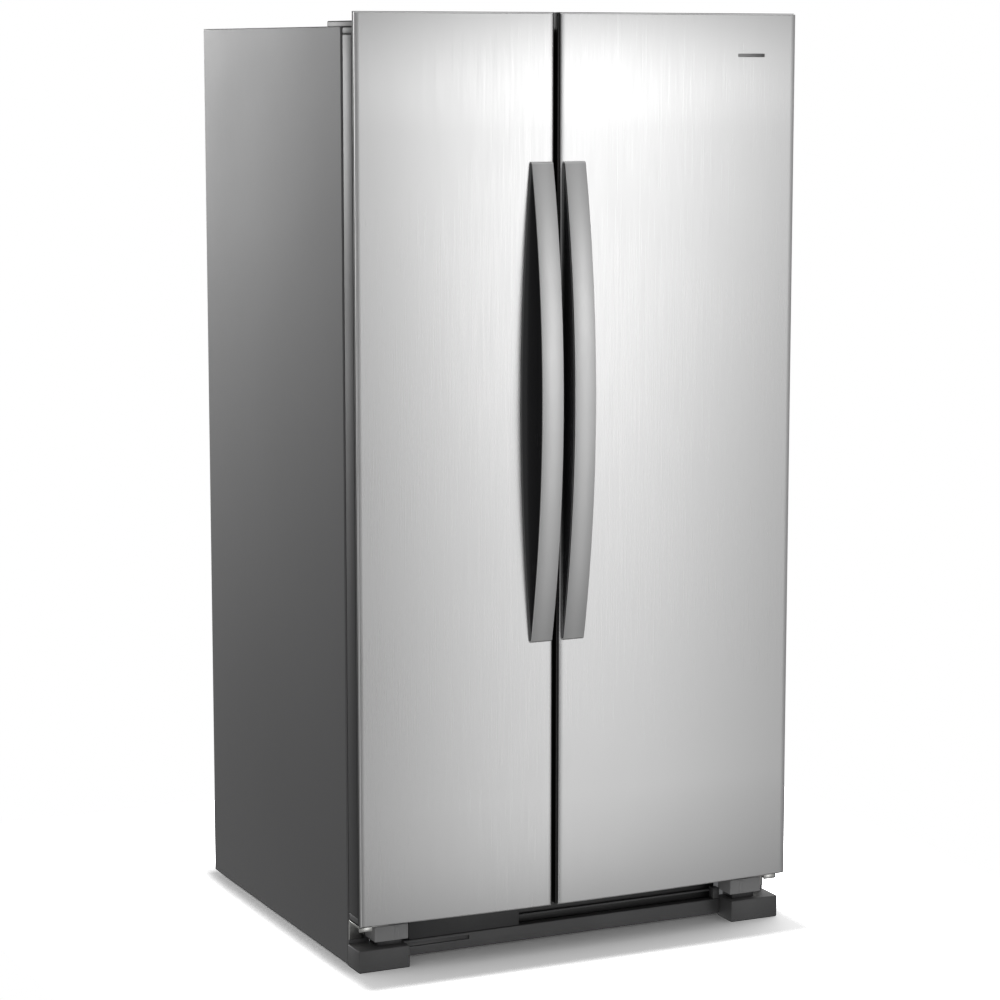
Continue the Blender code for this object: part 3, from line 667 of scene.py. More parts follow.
# %% [markdown]
# ## The handles
# A handle is a steel strip that bows away from the door, on a charcoal moulding that hooks round
# behind it. The strip follows a parabola, and a quadratic Bezier curve is exactly that, so Geometry
# Nodes draws the curve, sweeps a rectangle with small rounded corners along it and closes its ends.

# %% The strip's node tree
def start_tree(name, inputs):
    """A Geometry Nodes tree with named inputs, its two ends and a table of the inputs' identifiers."""
    tree = bpy.data.node_groups.new(name, "GeometryNodeTree")
    tree.interface.new_socket(name="Geometry", in_out="INPUT", socket_type="NodeSocketGeometry")
    tree.interface.new_socket(name="Geometry", in_out="OUTPUT", socket_type="NodeSocketGeometry")
    keys = {}
    for label, kind in inputs:
        keys[label] = tree.interface.new_socket(name=label, in_out="INPUT", socket_type=kind).identifier
    return tree, tree.nodes.new("NodeGroupInput").outputs, tree.nodes.new("NodeGroupOutput"), keys


def grown(name, tree, keys, values):
    """Runs a tree with its inputs set by identifier, and keeps the result as a plain mesh."""
    obj = bpy.data.objects.new(name, bpy.data.meshes.new(name))
    bpy.context.scene.collection.objects.link(obj)
    modifier = obj.modifiers.new(tree.name, "NODES")
    modifier.node_group = tree
    for label, value in values.items():
        modifier[keys[label]] = value
    graph = bpy.context.evaluated_depsgraph_get()
    mesh = bpy.data.meshes.new_from_object(obj.evaluated_get(graph))
    obj.modifiers.clear()
    obj.data = mesh
    return obj


strip_tree, given, out, strip_keys = start_tree(
    "Bowed Strip",
    [
        ("Start", "NodeSocketVector"), ("Crown", "NodeSocketVector"), ("End", "NodeSocketVector"),
        ("Width", "NodeSocketFloat"), ("Thickness", "NodeSocketFloat"), ("Edge Radius", "NodeSocketFloat"),
        ("Steps", "NodeSocketInt"), ("Finish", "NodeSocketMaterial"),
    ],
)
arc = node(
    strip_tree, "GeometryNodeCurveQuadraticBezier",
    {"Resolution": given["Steps"], "Start": given["Start"], "Middle": given["Crown"], "End": given["End"]},
)
section = node(
    strip_tree, "GeometryNodeCurvePrimitiveQuadrilateral",
    {"Width": given["Width"], "Height": given["Thickness"]},
)
softer = node(
    strip_tree, "GeometryNodeFilletCurve",
    {"Curve": section.outputs[0], "Count": 3, "Radius": given["Edge Radius"], "Limit Radius": True},
    mode="POLY",
)
upright = node(
    strip_tree, "GeometryNodeSetCurveNormal", {"Curve": arc.outputs[0], "Normal": (1.0, 0.0, 0.0)}, mode="FREE",
)
swept = node(
    strip_tree, "GeometryNodeCurveToMesh",
    {"Curve": upright.outputs[0], "Profile Curve": softer.outputs[0], "Fill Caps": True},
)
whole = node(strip_tree, "GeometryNodeRealizeInstances", {0: swept.outputs[0]})
dressed = node(strip_tree, "GeometryNodeSetMaterial", {0: whole.outputs[0], "Material": given["Finish"]})
strip_tree.links.new(dressed.outputs[0], out.inputs[0])
print(strip_tree.name, "ready")

# %% [markdown]
# The moulding behind the strip changes its section along its length, so it is a skin over rings: a
# crescent plate on the door, a cove that turns up into a wall, and a thin ledge under the strip.
# The cove's radius grows towards the middle, where fingers go in.

# %% Handle mouldings, strips and their ends
STRIP_THICK = 0.0026
PLATE_THICK = 0.003
WALL_THICK = 0.0045
CRESCENT = 0.0196
SHOULDER = 0.0012
LEVELS = 56
strip_boxes = {"freezer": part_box("freezer_handle_strip"), "fridge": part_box("fridge_handle_strip")}


def handle_section(width, t, end_reach, crown_reach):
    """The moulding's section at t from -1 to 1, as (distance from the gap side, reach from the door)."""
    edge = width + CRESCENT * (1 - t * t)
    top = end_reach + (crown_reach - end_reach) * (1 - t * t) - STRIP_THICK - GAP
    room = top - PLATE_THICK
    ledge = min(0.0026, room * 0.35)
    cove = min(0.026, (room - ledge) * 0.92)
    section = [
        (SHOULDER, GAP), (edge, GAP), (edge, PLATE_THICK * 0.35), (edge - 0.0012, PLATE_THICK * 0.8),
        (edge - 0.003, PLATE_THICK),
    ]
    for k in range(9):
        a = math.pi / 2 * k / 8
        section.append((WALL_THICK + cove * (1 - math.sin(a)), PLATE_THICK + cove * (1 - math.cos(a))))
    lip = width - 0.0006
    shoulder = min(SHOULDER, room * 0.5)
    section += [(WALL_THICK, top - ledge), (lip - 0.0008, top - ledge), (lip, top - ledge * 0.6), (lip, top)]
    section += [(shoulder, top), (0.0, top - shoulder), (0.0, SHOULDER)]
    return section


for door, side in (("freezer", -1), ("fridge", 1)):
    low, high = strip_boxes[door]
    inner = high.x if side < 0 else low.x
    width = high.x - low.x
    crown_reach = bowed_front(inner + side * width / 2) - low.y
    end_reach = 0.007
    rings = []
    for k in range(LEVELS + 1):
        t = -1 + 2 * k / LEVELS
        height = low.z + (high.z - low.z) * k / LEVELS
        ring = []
        for across, reach in handle_section(width, t, end_reach, crown_reach):
            x = inner + side * across
            ring.append((x, bowed_front(x) - reach, height))
        rings.append(ring)
    moulding = skin(f"{door}_handle_moulding", rings)
    fit(moulding, handle_gloss, f"{door}_door", [f"{door}_handle_body"])

    strip_width = width - SHOULDER
    middle = inner + side * (SHOULDER + strip_width / 2)
    door_y = bowed_front(middle) + STRIP_THICK / 2
    crown = 2 * crown_reach - end_reach
    strip = grown(
        f"{door}_bowed_strip", strip_tree, strip_keys,
        {
            "Start": (middle, door_y - end_reach, low.z), "End": (middle, door_y - end_reach, high.z),
            "Crown": (middle, door_y - crown, (low.z + high.z) / 2), "Width": strip_width,
            "Thickness": STRIP_THICK - 0.0004, "Edge Radius": 0.0005, "Steps": 72, "Finish": strip_steel,
        },
    )
    fit(strip, strip_steel, f"{door}_door", [f"{door}_handle_strip"])
    for place, z, up in (("lower", low.z, -1), ("upper", high.z, 1)):
        face = bowed_front(middle) - end_reach
        outline = [
            (face + 0.0006, z), (face + 0.0035, z + up * 0.0032),
            (door_y - STRIP_THICK / 2 - GAP, z + up * 0.0032),
        ]
        outline.append((door_y - STRIP_THICK / 2 - GAP, z))
        wedge = extrude(
            f"{door}_handle_{place}_end", outline, (middle - strip_width / 2, middle + strip_width / 2), "X",
        )
        fit(wedge, strip_steel, f"{door}_door")

# %% [markdown]
# A plain blank plate sits near the top corner of the fridge door, where a maker would put a name.

# %% Blank plate
plate_steel = finish(
    "plate_steel", (
        0.20, 0.20, 0.20,
    ), (0.30, 0.40), metallic=1.0, drift=0.05, grain=(8, 900, 1200), grain_depth=0.000004,
    edges=0.6, edge_tone=(0.6, 0.6, 0.6),
)
PLATE_FROM_EDGE = (0.150, 0.070)
PLATE_HEIGHT = (1.6815, 1.6880)
plate_x = tuple(fridge_steel[1].x - far for far in PLATE_FROM_EDGE)
plate_front = bowed_front(sum(plate_x) / 2) - 0.0008
plate = block("blank_plate", plate_x, (plate_front, plate_front + 0.0007), PLATE_HEIGHT, 0.0003)
fit(plate, plate_steel, "fridge_door")

# %% [markdown]
# ## Seals and door linings
# Rings are swept round a rounded rectangle: a profile is carried along the path and turned with it.
# The door gasket is a soft bellows with a magnet bulb, which shows as folds when a door is open.

# %% Sweeping round a rounded rectangle
def round_path(a, b, corner, steps=6):
    """Points round a rounded rectangle, each with its outward direction."""
    path = []
    centres = (
        (a[1] - corner, b[1] - corner), (a[0] + corner, b[1] - corner), (a[0] + corner, b[0] + corner),
        (a[1] - corner, b[0] + corner),
    )
    for quarter, (ca, cb) in enumerate(centres):
        for k in range(steps + 1):
            turn = math.pi / 2 * (quarter + k / steps)
            path.append(
                (ca + corner * math.cos(turn), cb + corner * math.sin(turn), math.cos(turn), math.sin(turn)),
            )
    return path


def ring_round(name, a, b, corner, profile, upright=True, steps=6):
    """Sweeps a closed profile of (outward, depth) round a rectangle in X and Z, or X and Y."""
    bm = bmesh.new()
    rows = []
    for pa, pb, na, nb in round_path(a, b, corner, steps):
        row = []
        for outward, depth in profile:
            first, second = pa + na * outward, pb + nb * outward
            row.append(bm.verts.new((first, depth, second) if upright else (first, second, depth)))
        rows.append(row)
    return loop_closed(name, bm, rows)


for door in ("freezer", "fridge"):
    low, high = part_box(f"{door}_gasket")
    base, face = low.y, high.y
    depth = face - base
    bellows = [
        (-0.0155, base), (-0.0025, base), (-0.0008, base + depth * 0.12), (-0.0036, base + depth * 0.30),
        (
            -0.0004, base + depth * 0.48,
        ), (0.0, face - 0.0012), (-0.0012, face), (-0.0168, face), (-0.018, face - 0.0012),
        (-0.0176, base + depth * 0.48), (-0.0144, base + depth * 0.30), (-0.0172, base + depth * 0.12),
    ]
    seal = ring_round(f"{door}_seal", (low.x, high.x), (low.z, high.z), 0.010, bellows)
    fit(seal, gasket_rubber, f"{door}_door", [f"{door}_gasket"])

# %% [markdown]
# The door lining is vacuum formed: a flat flange under the gasket, a floor, and a raised rim whose
# crest is rounded.

# %% A tree that repeats a piece along a line
row_tree, given, out, row_keys = start_tree(
    "Row Of Pieces",
    [
        ("Start", "NodeSocketVector"), ("End", "NodeSocketVector"), ("Count", "NodeSocketInt"),
        ("Piece", "NodeSocketObject"), ("Size", "NodeSocketFloat"), ("Finish", "NodeSocketMaterial"),
    ],
)
spaced = node(
    row_tree, "GeometryNodeMeshLine",
    {"Count": given["Count"], "Start Location": given["Start"], "Offset": given["End"]},
    mode="END_POINTS",
)
pattern = node(row_tree, "GeometryNodeObjectInfo", {"Object": given["Piece"], "As Instance": True})
placed = node(
    row_tree, "GeometryNodeInstanceOnPoints",
    {"Points": spaced.outputs[0], "Instance": pattern.outputs["Geometry"], "Scale": given["Size"]},
)
solid = node(row_tree, "GeometryNodeRealizeInstances", {0: placed.outputs[0]})
coloured = node(row_tree, "GeometryNodeSetMaterial", {0: solid.outputs[0], "Material": given["Finish"]})
row_tree.links.new(coloured.outputs[0], out.inputs[0])


def row_of(name, pattern_piece, start, end, count, material, size=1.0):
    """A row of copies of one small piece, made at the origin, from start to end."""
    values = {
        "Start": start, "End": end, "Count": count, "Piece": pattern_piece, "Size": size, "Finish": material,
    }
    return grown(name, row_tree, row_keys, values)


def pattern_of(obj):
    """Keeps a piece out of the picture: it is only there to be copied."""
    obj.hide_render = True
    obj.hide_viewport = False
    return obj


print(row_tree.name, "ready")

# %% Door linings
HOLLOW_Z = (0.152, 1.663)
for door in ("freezer", "fridge"):
    low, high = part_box(f"{door}_door_liner")
    bin_name = "freezer_bin" if door == "freezer" else "fridge_bin_upper"
    bin_low, bin_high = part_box(bin_name)
    hollow_x = (bin_low.x - 0.0005, bin_high.x + 0.0005)
    floor, crest = low.y + 0.002, high.y
    flange = block("flange", (low.x, high.x), (low.y, floor), (low.z, high.z), 0.0008)
    rim_profile = [
        (0.0, floor - 0.0005), (0.012, floor - 0.0005), (0.0075, floor + 0.004), (0.0060, crest - 0.004),
    ]
    rim_profile += [
        (0.0048, crest - 0.0012), (0.0030, crest), (0.0014, crest - 0.0008), (0.0006, crest - 0.004),
    ]
    rim_profile += [(0.0, floor + 0.004)]
    raised = ring_round("raised", hollow_x, HOLLOW_Z, 0.010, rim_profile)
    lining = joined(f"{door}_lining", flange, raised)
    fit(lining, liner_white, f"{door}_door", [f"{door}_door_liner"])

# %% [markdown]
# ## The cabinet
# The sides are one grey prepainted sheet each, folded round the front corner. The fold has a real
# radius, which is what catches a thin line of light next to the door, so it is drawn as an arc.

# %% Folded sides and the lid
FOLD = 0.0032


def folded_side(side, low, high):
    """A side sheet seen from above: its outer face, the front fold, the flange and the way back."""
    outer = side * high_x
    flange = side * flange_x
    outline = [(outer, high.y)]
    outline += [
        (outer - side * FOLD * (1 - math.cos(a)), low.y + FOLD * (1 - math.sin(a)))
        for a in (math.pi / 2 * k / 6 for k in range(7))
    ]
    inner = FOLD - SHEET
    outline += [(flange, low.y), (flange, low.y + SHEET)]
    outline += [
        (outer - side * (SHEET + inner * (1 - math.cos(a))), low.y + SHEET + inner * (1 - math.sin(a)))
        for a in (math.pi / 2 * (6 - k) / 6 for k in range(7))
    ]
    outline.append((outer - side * SHEET, high.y))
    return outline


for side, name in ((-1, "left"), (1, "right")):
    low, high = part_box(f"cabinet_side_{name}")
    high_x = max(abs(low.x), abs(high.x))
    flange_x = min(abs(low.x), abs(high.x))
    wrap = extrude(f"{name}_side_sheet", folded_side(side, low, high), (low.z, high.z), "Z")
    fit(wrap, cabinet_paint, "cabinet", [f"cabinet_side_{name}"])
eased("cabinet_top", "cabinet_lid", 0.0005, cabinet_paint)
eased("mullion_strip", "centre_strip", 0.0004, cabinet_paint)
nodes["cabinet_foam"].data.materials.clear()
nodes["cabinet_foam"].data.materials.append(foam_fill)

# %% [markdown]
# The back is thin galvanised sheet. Flat it would drum, so beads are pressed across it. The sheet is
# a grid whose rows gather at each bead, and the bead's height is a smooth rise and fall.

# %% Back sheet with pressed beads and its screws
BEAD_HALF = 0.010
BEAD_RISE = 0.0012
screw_zinc = finish(
    "screw_zinc", (
        0.60, 0.60, 0.57,
    ), (0.22, 0.34), metallic=1.0, drift=0.08, pits=900, pit_depth=0.00002, film=60, edges=0.4,
    edge_tone=(0.8, 0.8, 0.78),
)


def smooth_rise(value):
    value = max(0.0, min(1.0, value))
    return value * value * (3 - 2 * value)


def beaded_sheet(name, low, high, beads):
    """A sheet facing +Y with horizontal beads at the given heights."""
    inset = 0.060
    xs = [low.x, low.x + inset]
    xs += [low.x + inset + BEAD_HALF * k / 4 for k in range(1, 5)]
    xs += [high.x - inset - BEAD_HALF * k / 4 for k in range(4, -1, -1)] + [high.x]
    zs = {low.z, high.z}
    for bead in beads:
        zs |= {bead + BEAD_HALF * k / 5 for k in range(-5, 6)}
    bm = bmesh.new()
    outer_face, inner_face = [], []
    ground = high.y - BEAD_RISE - 0.0001
    for x in xs:
        along = smooth_rise(min(x - low.x - inset, high.x - inset - x) / BEAD_HALF)
        outer_row, inner_row = [], []
        for z in sorted(zs):
            nearest = min(abs(z - bead) for bead in beads)
            rise = BEAD_RISE * along * smooth_rise(1 - nearest / BEAD_HALF)
            outer_row.append(bm.verts.new((x, ground + rise, z)))
            inner_row.append(bm.verts.new((x, ground + rise - 0.0007, z)))
        outer_face.append(outer_row)
        inner_face.append(inner_row)
    for face in (outer_face, inner_face):
        for left, right in zip(face, face[1:]):
            for j in range(len(left) - 1):
                bm.faces.new((left[j], left[j + 1], right[j + 1], right[j]))
    edges_out = [
        outer_face[0], [r[-1] for r in outer_face], outer_face[-1][::-1], [r[0] for r in outer_face][::-1],
    ]
    edges_in = [
        inner_face[0], [r[-1] for r in inner_face], inner_face[-1][::-1], [r[0] for r in inner_face][::-1],
    ]
    for rim_out, rim_in in zip(edges_out, edges_in):
        for i in range(len(rim_out) - 1):
            bm.faces.new((rim_out[i], rim_out[i + 1], rim_in[i + 1], rim_in[i]))
    return new_object(name, bm)


low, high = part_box("cabinet_back")
beads = [low.z + (high.z - low.z) * (k + 0.5) / 7 for k in range(7)]
back_sheet = beaded_sheet("back_sheet", low, high, beads)
fit(back_sheet, galvanised_sheet, "cabinet", ["cabinet_back"])
screw = turned(
    "screw_pattern", [(0.0040, 0.0), (0.0040, 0.0004), (0.0034, 0.0010), (0.0012, 0.0011)], (0, 0, 0),
    (0, 1, 0), 14,
)
pattern_of(screw)
head_y = high.y - BEAD_RISE - 0.0001
for x, place in ((low.x + 0.014, "left"), (high.x - 0.014, "right")):
    heads = row_of(
        f"back_screws_{place}", screw, (x, head_y, low.z + 0.03), (x, head_y, high.z - 0.03), 9, screw_zinc,
    )
    fit(heads, screw_zinc, "cabinet")
heads = row_of(
    "back_screws_top", screw, (low.x + 0.1, head_y, high.z - 0.012), (high.x - 0.1, head_y, high.z - 0.012), 6,
    screw_zinc,
)
fit(heads, screw_zinc, "cabinet")

# %% [markdown]
# The machine compartment is closed by a slotted cover. Its slots are cut in the imported node; here
# their edges are eased.

# %% Machine cover, base and gland
eased("machine_cover", "vented_cover", 0.0003, galvanised_sheet)
eased("base_pan", "pressed_base", 0.0004, galvanised_sheet)


def ring_turned(name, profile, centre, axis, sides=32, wobble=None):
    """A turned ring whose profile closes on itself, so it has a bore."""
    turn = Vector((0, 0, 1)).rotation_difference(Vector(axis)).to_matrix()
    bm = bmesh.new()
    rows = []
    for k in range(sides):
        a = 2 * math.pi * k / sides
        row = []
        for radius, height in profile:
            true = radius + (wobble(a, radius) if wobble else 0.0)
            row.append(
                bm.verts.new(turn @ Vector((true * math.cos(a), true * math.sin(a), height)) + Vector(centre)),
            )
        rows.append(row)
    return loop_closed(name, bm, rows)


gland_low, gland_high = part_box("cord_gland")
gland_centre = ((gland_low.x + gland_high.x) / 2, gland_high.y, (gland_low.z + gland_high.z) / 2)
sleeve = [
    (0.0042, -0.0077), (0.0082, -0.0077), (0.0090, -0.0068), (0.0090, -0.0016), (0.0082, -0.0004),
    (0.0060, 0.0), (0.0042, -0.0006),
]
gland = ring_turned("rubber_gland", sleeve, gland_centre, (0, 1, 0), 40)
fit(gland, black_trim, "cabinet", ["cord_gland"])

# %% [markdown]
# ## Hinges, feet and the toe grille
# The bottom hinges are bright zinc: a plate with a turned-down lip, a bush that the door sits on and
# a hex nut under the pin. Covers hide the top ones. These small bright corners show below the doors.

# %% Hinges
BUSH = (0.0885, 0.0925)
NUT = (0.0768, 0.0845)
LIP = (0.0775, 0.0885)
for side, name, door in ((-1, "left", "freezer"), (1, "right", "fridge")):
    eased(f"bottom_hinge_{name}", f"lower_hinge_{name}", 0.0007, zinc_plate)
    low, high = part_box(f"bottom_hinge_{name}")
    pin = next(j["pos_m"] for j in frame["joints"] if j["child"] == f"{door}_door")
    bush = ring_turned(
        f"hinge_bush_{name}", [
            (0.0053, BUSH[0]), (0.0100, BUSH[0]), (0.0100, BUSH[0] + 0.0012), (0.0080, BUSH[0] + 0.0018),
            (0.0080, BUSH[1]), (0.0053, BUSH[1]),
        ],
        (pin[0], pin[1], 0.0), (0, 0, 1), 32,
    )
    nut = turned(
        f"hinge_nut_{name}",
        [(0.0075, NUT[0]), (0.0085, NUT[0] + 0.0008), (0.0085, NUT[1] - 0.0004), (0.0085, NUT[1])],
        (pin[0], pin[1], 0.0), (0, 0, 1), 6,
    )
    lip_x = sorted((side * 0.4445, side * 0.4180))
    lip = block(f"hinge_lip_{name}", lip_x, (low.y, low.y + 0.0016), LIP, 0.0006)
    for piece in (bush, nut, lip):
        fit(piece, zinc_plate, "cabinet")
    eased(f"top_hinge_{name}", f"upper_hinge_{name}", 0.0005, zinc_plate)
    low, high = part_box(f"hinge_cover_{name}")
    cap = block(f"hinge_cap_{name}", (low.x, high.x), (low.y, high.y), (low.z - 0.004, high.z), 0.0030, 4)
    room = block(
        "room", within(low.x, high.x, 0.0012), within(low.y, high.y, 0.0012), (low.z - 0.02, high.z - 0.0015),
        0.0020, 2,
    )
    floor_cut = block(
        "floor_cut", (low.x - 0.01, high.x + 0.01), (low.y - 0.01, high.y + 0.01), (low.z - 0.03, low.z),
        0.0001, 1,
    )
    for cutter in (room, floor_cut):
        hollowed(cap, cutter)
    fit(cap, black_trim, "cabinet", [f"hinge_cover_{name}"])

# %% [markdown]
# Each foot is a moulded shoe on the floor, a short neck, and a bracket block under the door's
# corner. The block is a paler grey than the shoe, and a dark gap shows between them.

# %% Feet
SHOE_TOP = 0.042
NECK_TOP = 0.054
bracket_grey = finish(
    "bracket_grey", (0.27, 0.27, 0.272), (0.40, 0.50), drift=0.07, pits=1000, pit_depth=0.00003, edges=0.8,
    edge_tone=(0.45, 0.45, 0.455), dust=0.10, film=12,
)
for side, name in ((-1, "left"), (1, "right")):
    low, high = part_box(f"front_foot_{name}")
    outer, inner = (low.x, high.x) if side < 0 else (high.x, low.x)
    shoe = block(f"{name}_shoe", (low.x, high.x), (low.y, high.y), (low.z, SHOE_TOP), 0.0022, 3)
    fit(shoe, foot_plastic, "cabinet", [f"front_foot_{name}"])
    neck_x = sorted((inner + side * 0.010, inner + side * 0.058))
    neck = block(f"{name}_neck", neck_x, (low.y + 0.016, high.y - 0.001), (SHOE_TOP - 0.004, NECK_TOP), 0.001)
    fit(neck, dark_moulding, "cabinet")
    bracket_x = sorted((inner, inner + side * 0.068))
    bracket = block(f"{name}_bracket", bracket_x, (low.y + 0.006, high.y), (0.0533, high.z), 0.0022, 3)
    fit(bracket, bracket_grey, "cabinet")
    web_low, web_high = sorted((inner + side * 0.020, inner + side * 0.028))
    web = block(
        f"{name}_web", (web_low, web_high), (low.y + 0.0052, low.y + 0.008), (0.056, high.z - 0.003), 0.0008,
    )
    fit(web, bracket_grey, "cabinet")

# %% [markdown]
# Between the feet runs a low bar. A plate clips over its left part, a thin slat crosses the open
# part, and a post closes the right end. A long slot in the bar takes a screwdriver to lift the plate.

# %% Toe grille
low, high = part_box("toe_grille")
bar = block("toe_bar", (low.x, high.x), (low.y, high.y), (low.z, 0.036), 0.0018, 3)
slot_cut = block(
    "slot_cut", (low.x + 0.006, low.x + 0.143), (low.y - 0.01, low.y + 0.005), (0.0225, 0.0315), 0.0012,
)
hollowed(bar, slot_cut)
fit(bar, foot_plastic, "cabinet", ["toe_grille"])
clip_plate = block(
    "toe_plate", (low.x + 0.018, low.x + 0.248), (low.y + 0.001, low.y + 0.005), (0.0365, high.z), 0.0012, 3,
)
fit(clip_plate, dark_moulding, "cabinet")
slat = block("toe_slat", (low.x + 0.243, high.x - 0.0145), (high.y - 0.006, high.y), (0.050, 0.0535), 0.0010)
fit(slat, foot_plastic, "cabinet")
post = block("toe_post", (high.x - 0.014, high.x), (low.y, high.y), (0.0365, 0.058), 0.0014)
fit(post, foot_plastic, "cabinet")
link = block("toe_link", (low.x + 0.2385, low.x + 0.2480), (low.y + 0.0052, high.y), (0.0365, 0.060), 0.0008)
fit(link, dark_moulding, "cabinet")

# %% [markdown]
# Behind the grille a black sheet hangs from the base. It is painted shade: it stands in for the
# shade under the cabinet, and it is why the open part of the grille looks black.

# %% Painted shade sheet behind the grille
front_y = high.y + 0.0020
shade_sheet = block("air_baffle", within(low.x, high.x, 0.002), (front_y, front_y + 0.0016), (0.008, 0.0925), 0.0004)
fit(shade_sheet, black_trim, "cabinet")

# %% [markdown]
# The rear rollers are hard plastic wheels with a groove turned in the tread, on an axle fixed to the
# base.

# %% Rollers
for name in ("left", "right"):
    low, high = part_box(f"roller_{name}")
    pin = next(j for j in frame["joints"] if j["child"] == f"{name}_roller")
    wide = high.x - low.x
    radius = (high.z - low.z) / 2
    bore = 0.0043 + GAP
    tread = [
        (bore, -wide / 2), (0.0075, -wide / 2), (0.0085, -wide / 2 + 0.002), (0.0130, -wide / 2 + 0.002),
        (0.0140, -wide / 2),
    ]
    tread += [
        (radius - 0.0014, -wide / 2), (radius - 0.0003, -wide / 2 + 0.0006), (radius, -wide / 2 + 0.0018),
        (radius, -0.0020), (radius - 0.0012, -0.0010),
    ]
    tread += [(r, -h) for r, h in reversed(tread)]
    wheel = ring_turned(f"{name}_wheel", tread, pin["pos_m"], (1, 0, 0), 40)
    fit(wheel, dark_moulding, f"{name}_roller", [f"roller_{name}"])

# %% [markdown]
# ## Behind the slotted cover
# A hermetic compressor is two pressed shells welded round the middle, enamelled black. Beside it
# stand the condenser with its stacked fins, its fan, and the pan that catches melt water.

# %% Compressor, pipes and drain pan
def tube(name, points, radius, corner_steps=6):
    """A round pipe through points, with soft bends."""
    curve = bpy.data.curves.new(name, "CURVE")
    curve.dimensions = "3D"
    curve.bevel_depth = radius
    curve.bevel_resolution = 4
    curve.use_fill_caps = True
    curve.resolution_u = corner_steps
    spline = curve.splines.new("NURBS")
    spline.points.add(len(points) - 1)
    for point, place in zip(spline.points, points):
        point.co = (*place, 1.0)
    spline.order_u = 3
    spline.use_endpoint_u = True
    holder = bpy.data.objects.new(name, curve)
    bpy.context.scene.collection.objects.link(holder)
    graph = bpy.context.evaluated_depsgraph_get()
    mesh = bpy.data.meshes.new_from_object(holder.evaluated_get(graph))
    bpy.data.objects.remove(holder)
    bm = bmesh.new()
    bm.from_mesh(mesh)
    bmesh.ops.remove_doubles(bm, verts=bm.verts, dist=1e-6)
    return new_object(name, bm)


pipe_copper = finish(
    "pipe_copper", (
        0.72, 0.40, 0.27,
    ), (0.24, 0.40), metallic=1.0, drift=0.18, pits=500, pit_depth=0.00003, film=30,
)
low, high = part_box("compressor")
middle_x, middle_y, foot = (low.x + high.x) / 2, (low.y + high.y) / 2, low.z
shell = [
    (0.036, 0.0), (0.058, 0.0035), (0.069, 0.010), (0.0755, 0.022), (0.0785, 0.040), (0.0790, 0.068),
    (0.0820, 0.0688), (0.0820, 0.0740),
]
shell += [
    (0.0790, 0.0748), (0.0790, 0.104), (0.0765, 0.122), (0.070, 0.138), (0.058, 0.150), (0.040, 0.158),
    (0.018, 0.1615),
]
shell_piece = turned("compressor_shell", shell, (middle_x, middle_y, foot), (0, 0, 1), 64)
fit(shell_piece, black_enamel, "cabinet", ["compressor"])
box_x = high.x - 0.004
terminal = block(
    "terminal_cover", (box_x, box_x + 0.028), (middle_y - 0.024, middle_y + 0.024),
    (foot + 0.050, foot + 0.105), 0.004, 3,
)
fit(terminal, dark_moulding, "cabinet")
suction = tube(
    "suction_pipe",
    [
        (middle_x - 0.076, middle_y + 0.02, foot + 0.095), (middle_x - 0.098, middle_y + 0.03, foot + 0.097),
        (middle_x - 0.104, middle_y + 0.03, foot + 0.14), (middle_x - 0.100, middle_y + 0.02, foot + 0.190),
        (middle_x - 0.060, middle_y - 0.02, foot + 0.205),
    ],
    0.0035,
)
fit(suction, pipe_copper, "cabinet")
eased("drain_pan", "melt_tray", 0.0006, dark_moulding)

# %% [markdown]
# Fins repeat evenly along a coil, so both coils use the row tree: one thin plate, many copies.

# %% The two finned coils
def finned(name, node_name, count, metal, rows, columns):
    """Plates across the coil's length, with straight tubes through them and bends at both ends."""
    low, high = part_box(node_name)
    plate = block(
        "fin_pattern", (-0.0003, 0.0003), (low.y - high.y) / 2 * Vector((1, -1)),
        (-(high.z - low.z) / 2, (high.z - low.z) / 2), 0.0001, 1,
    )
    pattern_of(plate)
    centre = (low + high) / 2
    stack = row_of(
        f"{name}_fins", plate, (low.x + 0.004, centre.y, centre.z), (high.x - 0.004, centre.y, centre.z), count,
        metal,
    )
    fit(stack, metal, "cabinet", [node_name])
    bpy.data.objects.remove(plate)
    radius = 0.0040
    step_z = (high.z - low.z) / rows
    step_y = (high.y - low.y) / columns
    for column in range(columns):
        y = low.y + step_y * (column + 0.5)
        path = []
        for row in range(rows):
            z = low.z + step_z * (row + 0.5)
            ends = (low.x - 0.002, high.x + 0.002)
            start, end = ends if row % 2 == 0 else ends[::-1]
            swing = 0.010 if row % 2 == 0 else -0.010
            path += [
                (start, y, z), ((start + end) / 2, y, z), (end, y, z), (end + swing, y, z + step_z * 0.1),
                (end + swing, y, z + step_z * 0.9),
            ]
        pipe = tube(f"{name}_pipe_{column}", path[:-2], radius, 4)
        fit(pipe, metal, "cabinet")


finned("condenser", "condenser_coil", 46, black_enamel, 5, 3)
finned("evaporator", "evaporator_coil", 62, fin_metal, 12, 1)

# %% [markdown]
# A fan blade is twisted, steep at the hub and flat at the tip. Each is a skin over chords that turn
# along the radius, and five of them stand round a hub.

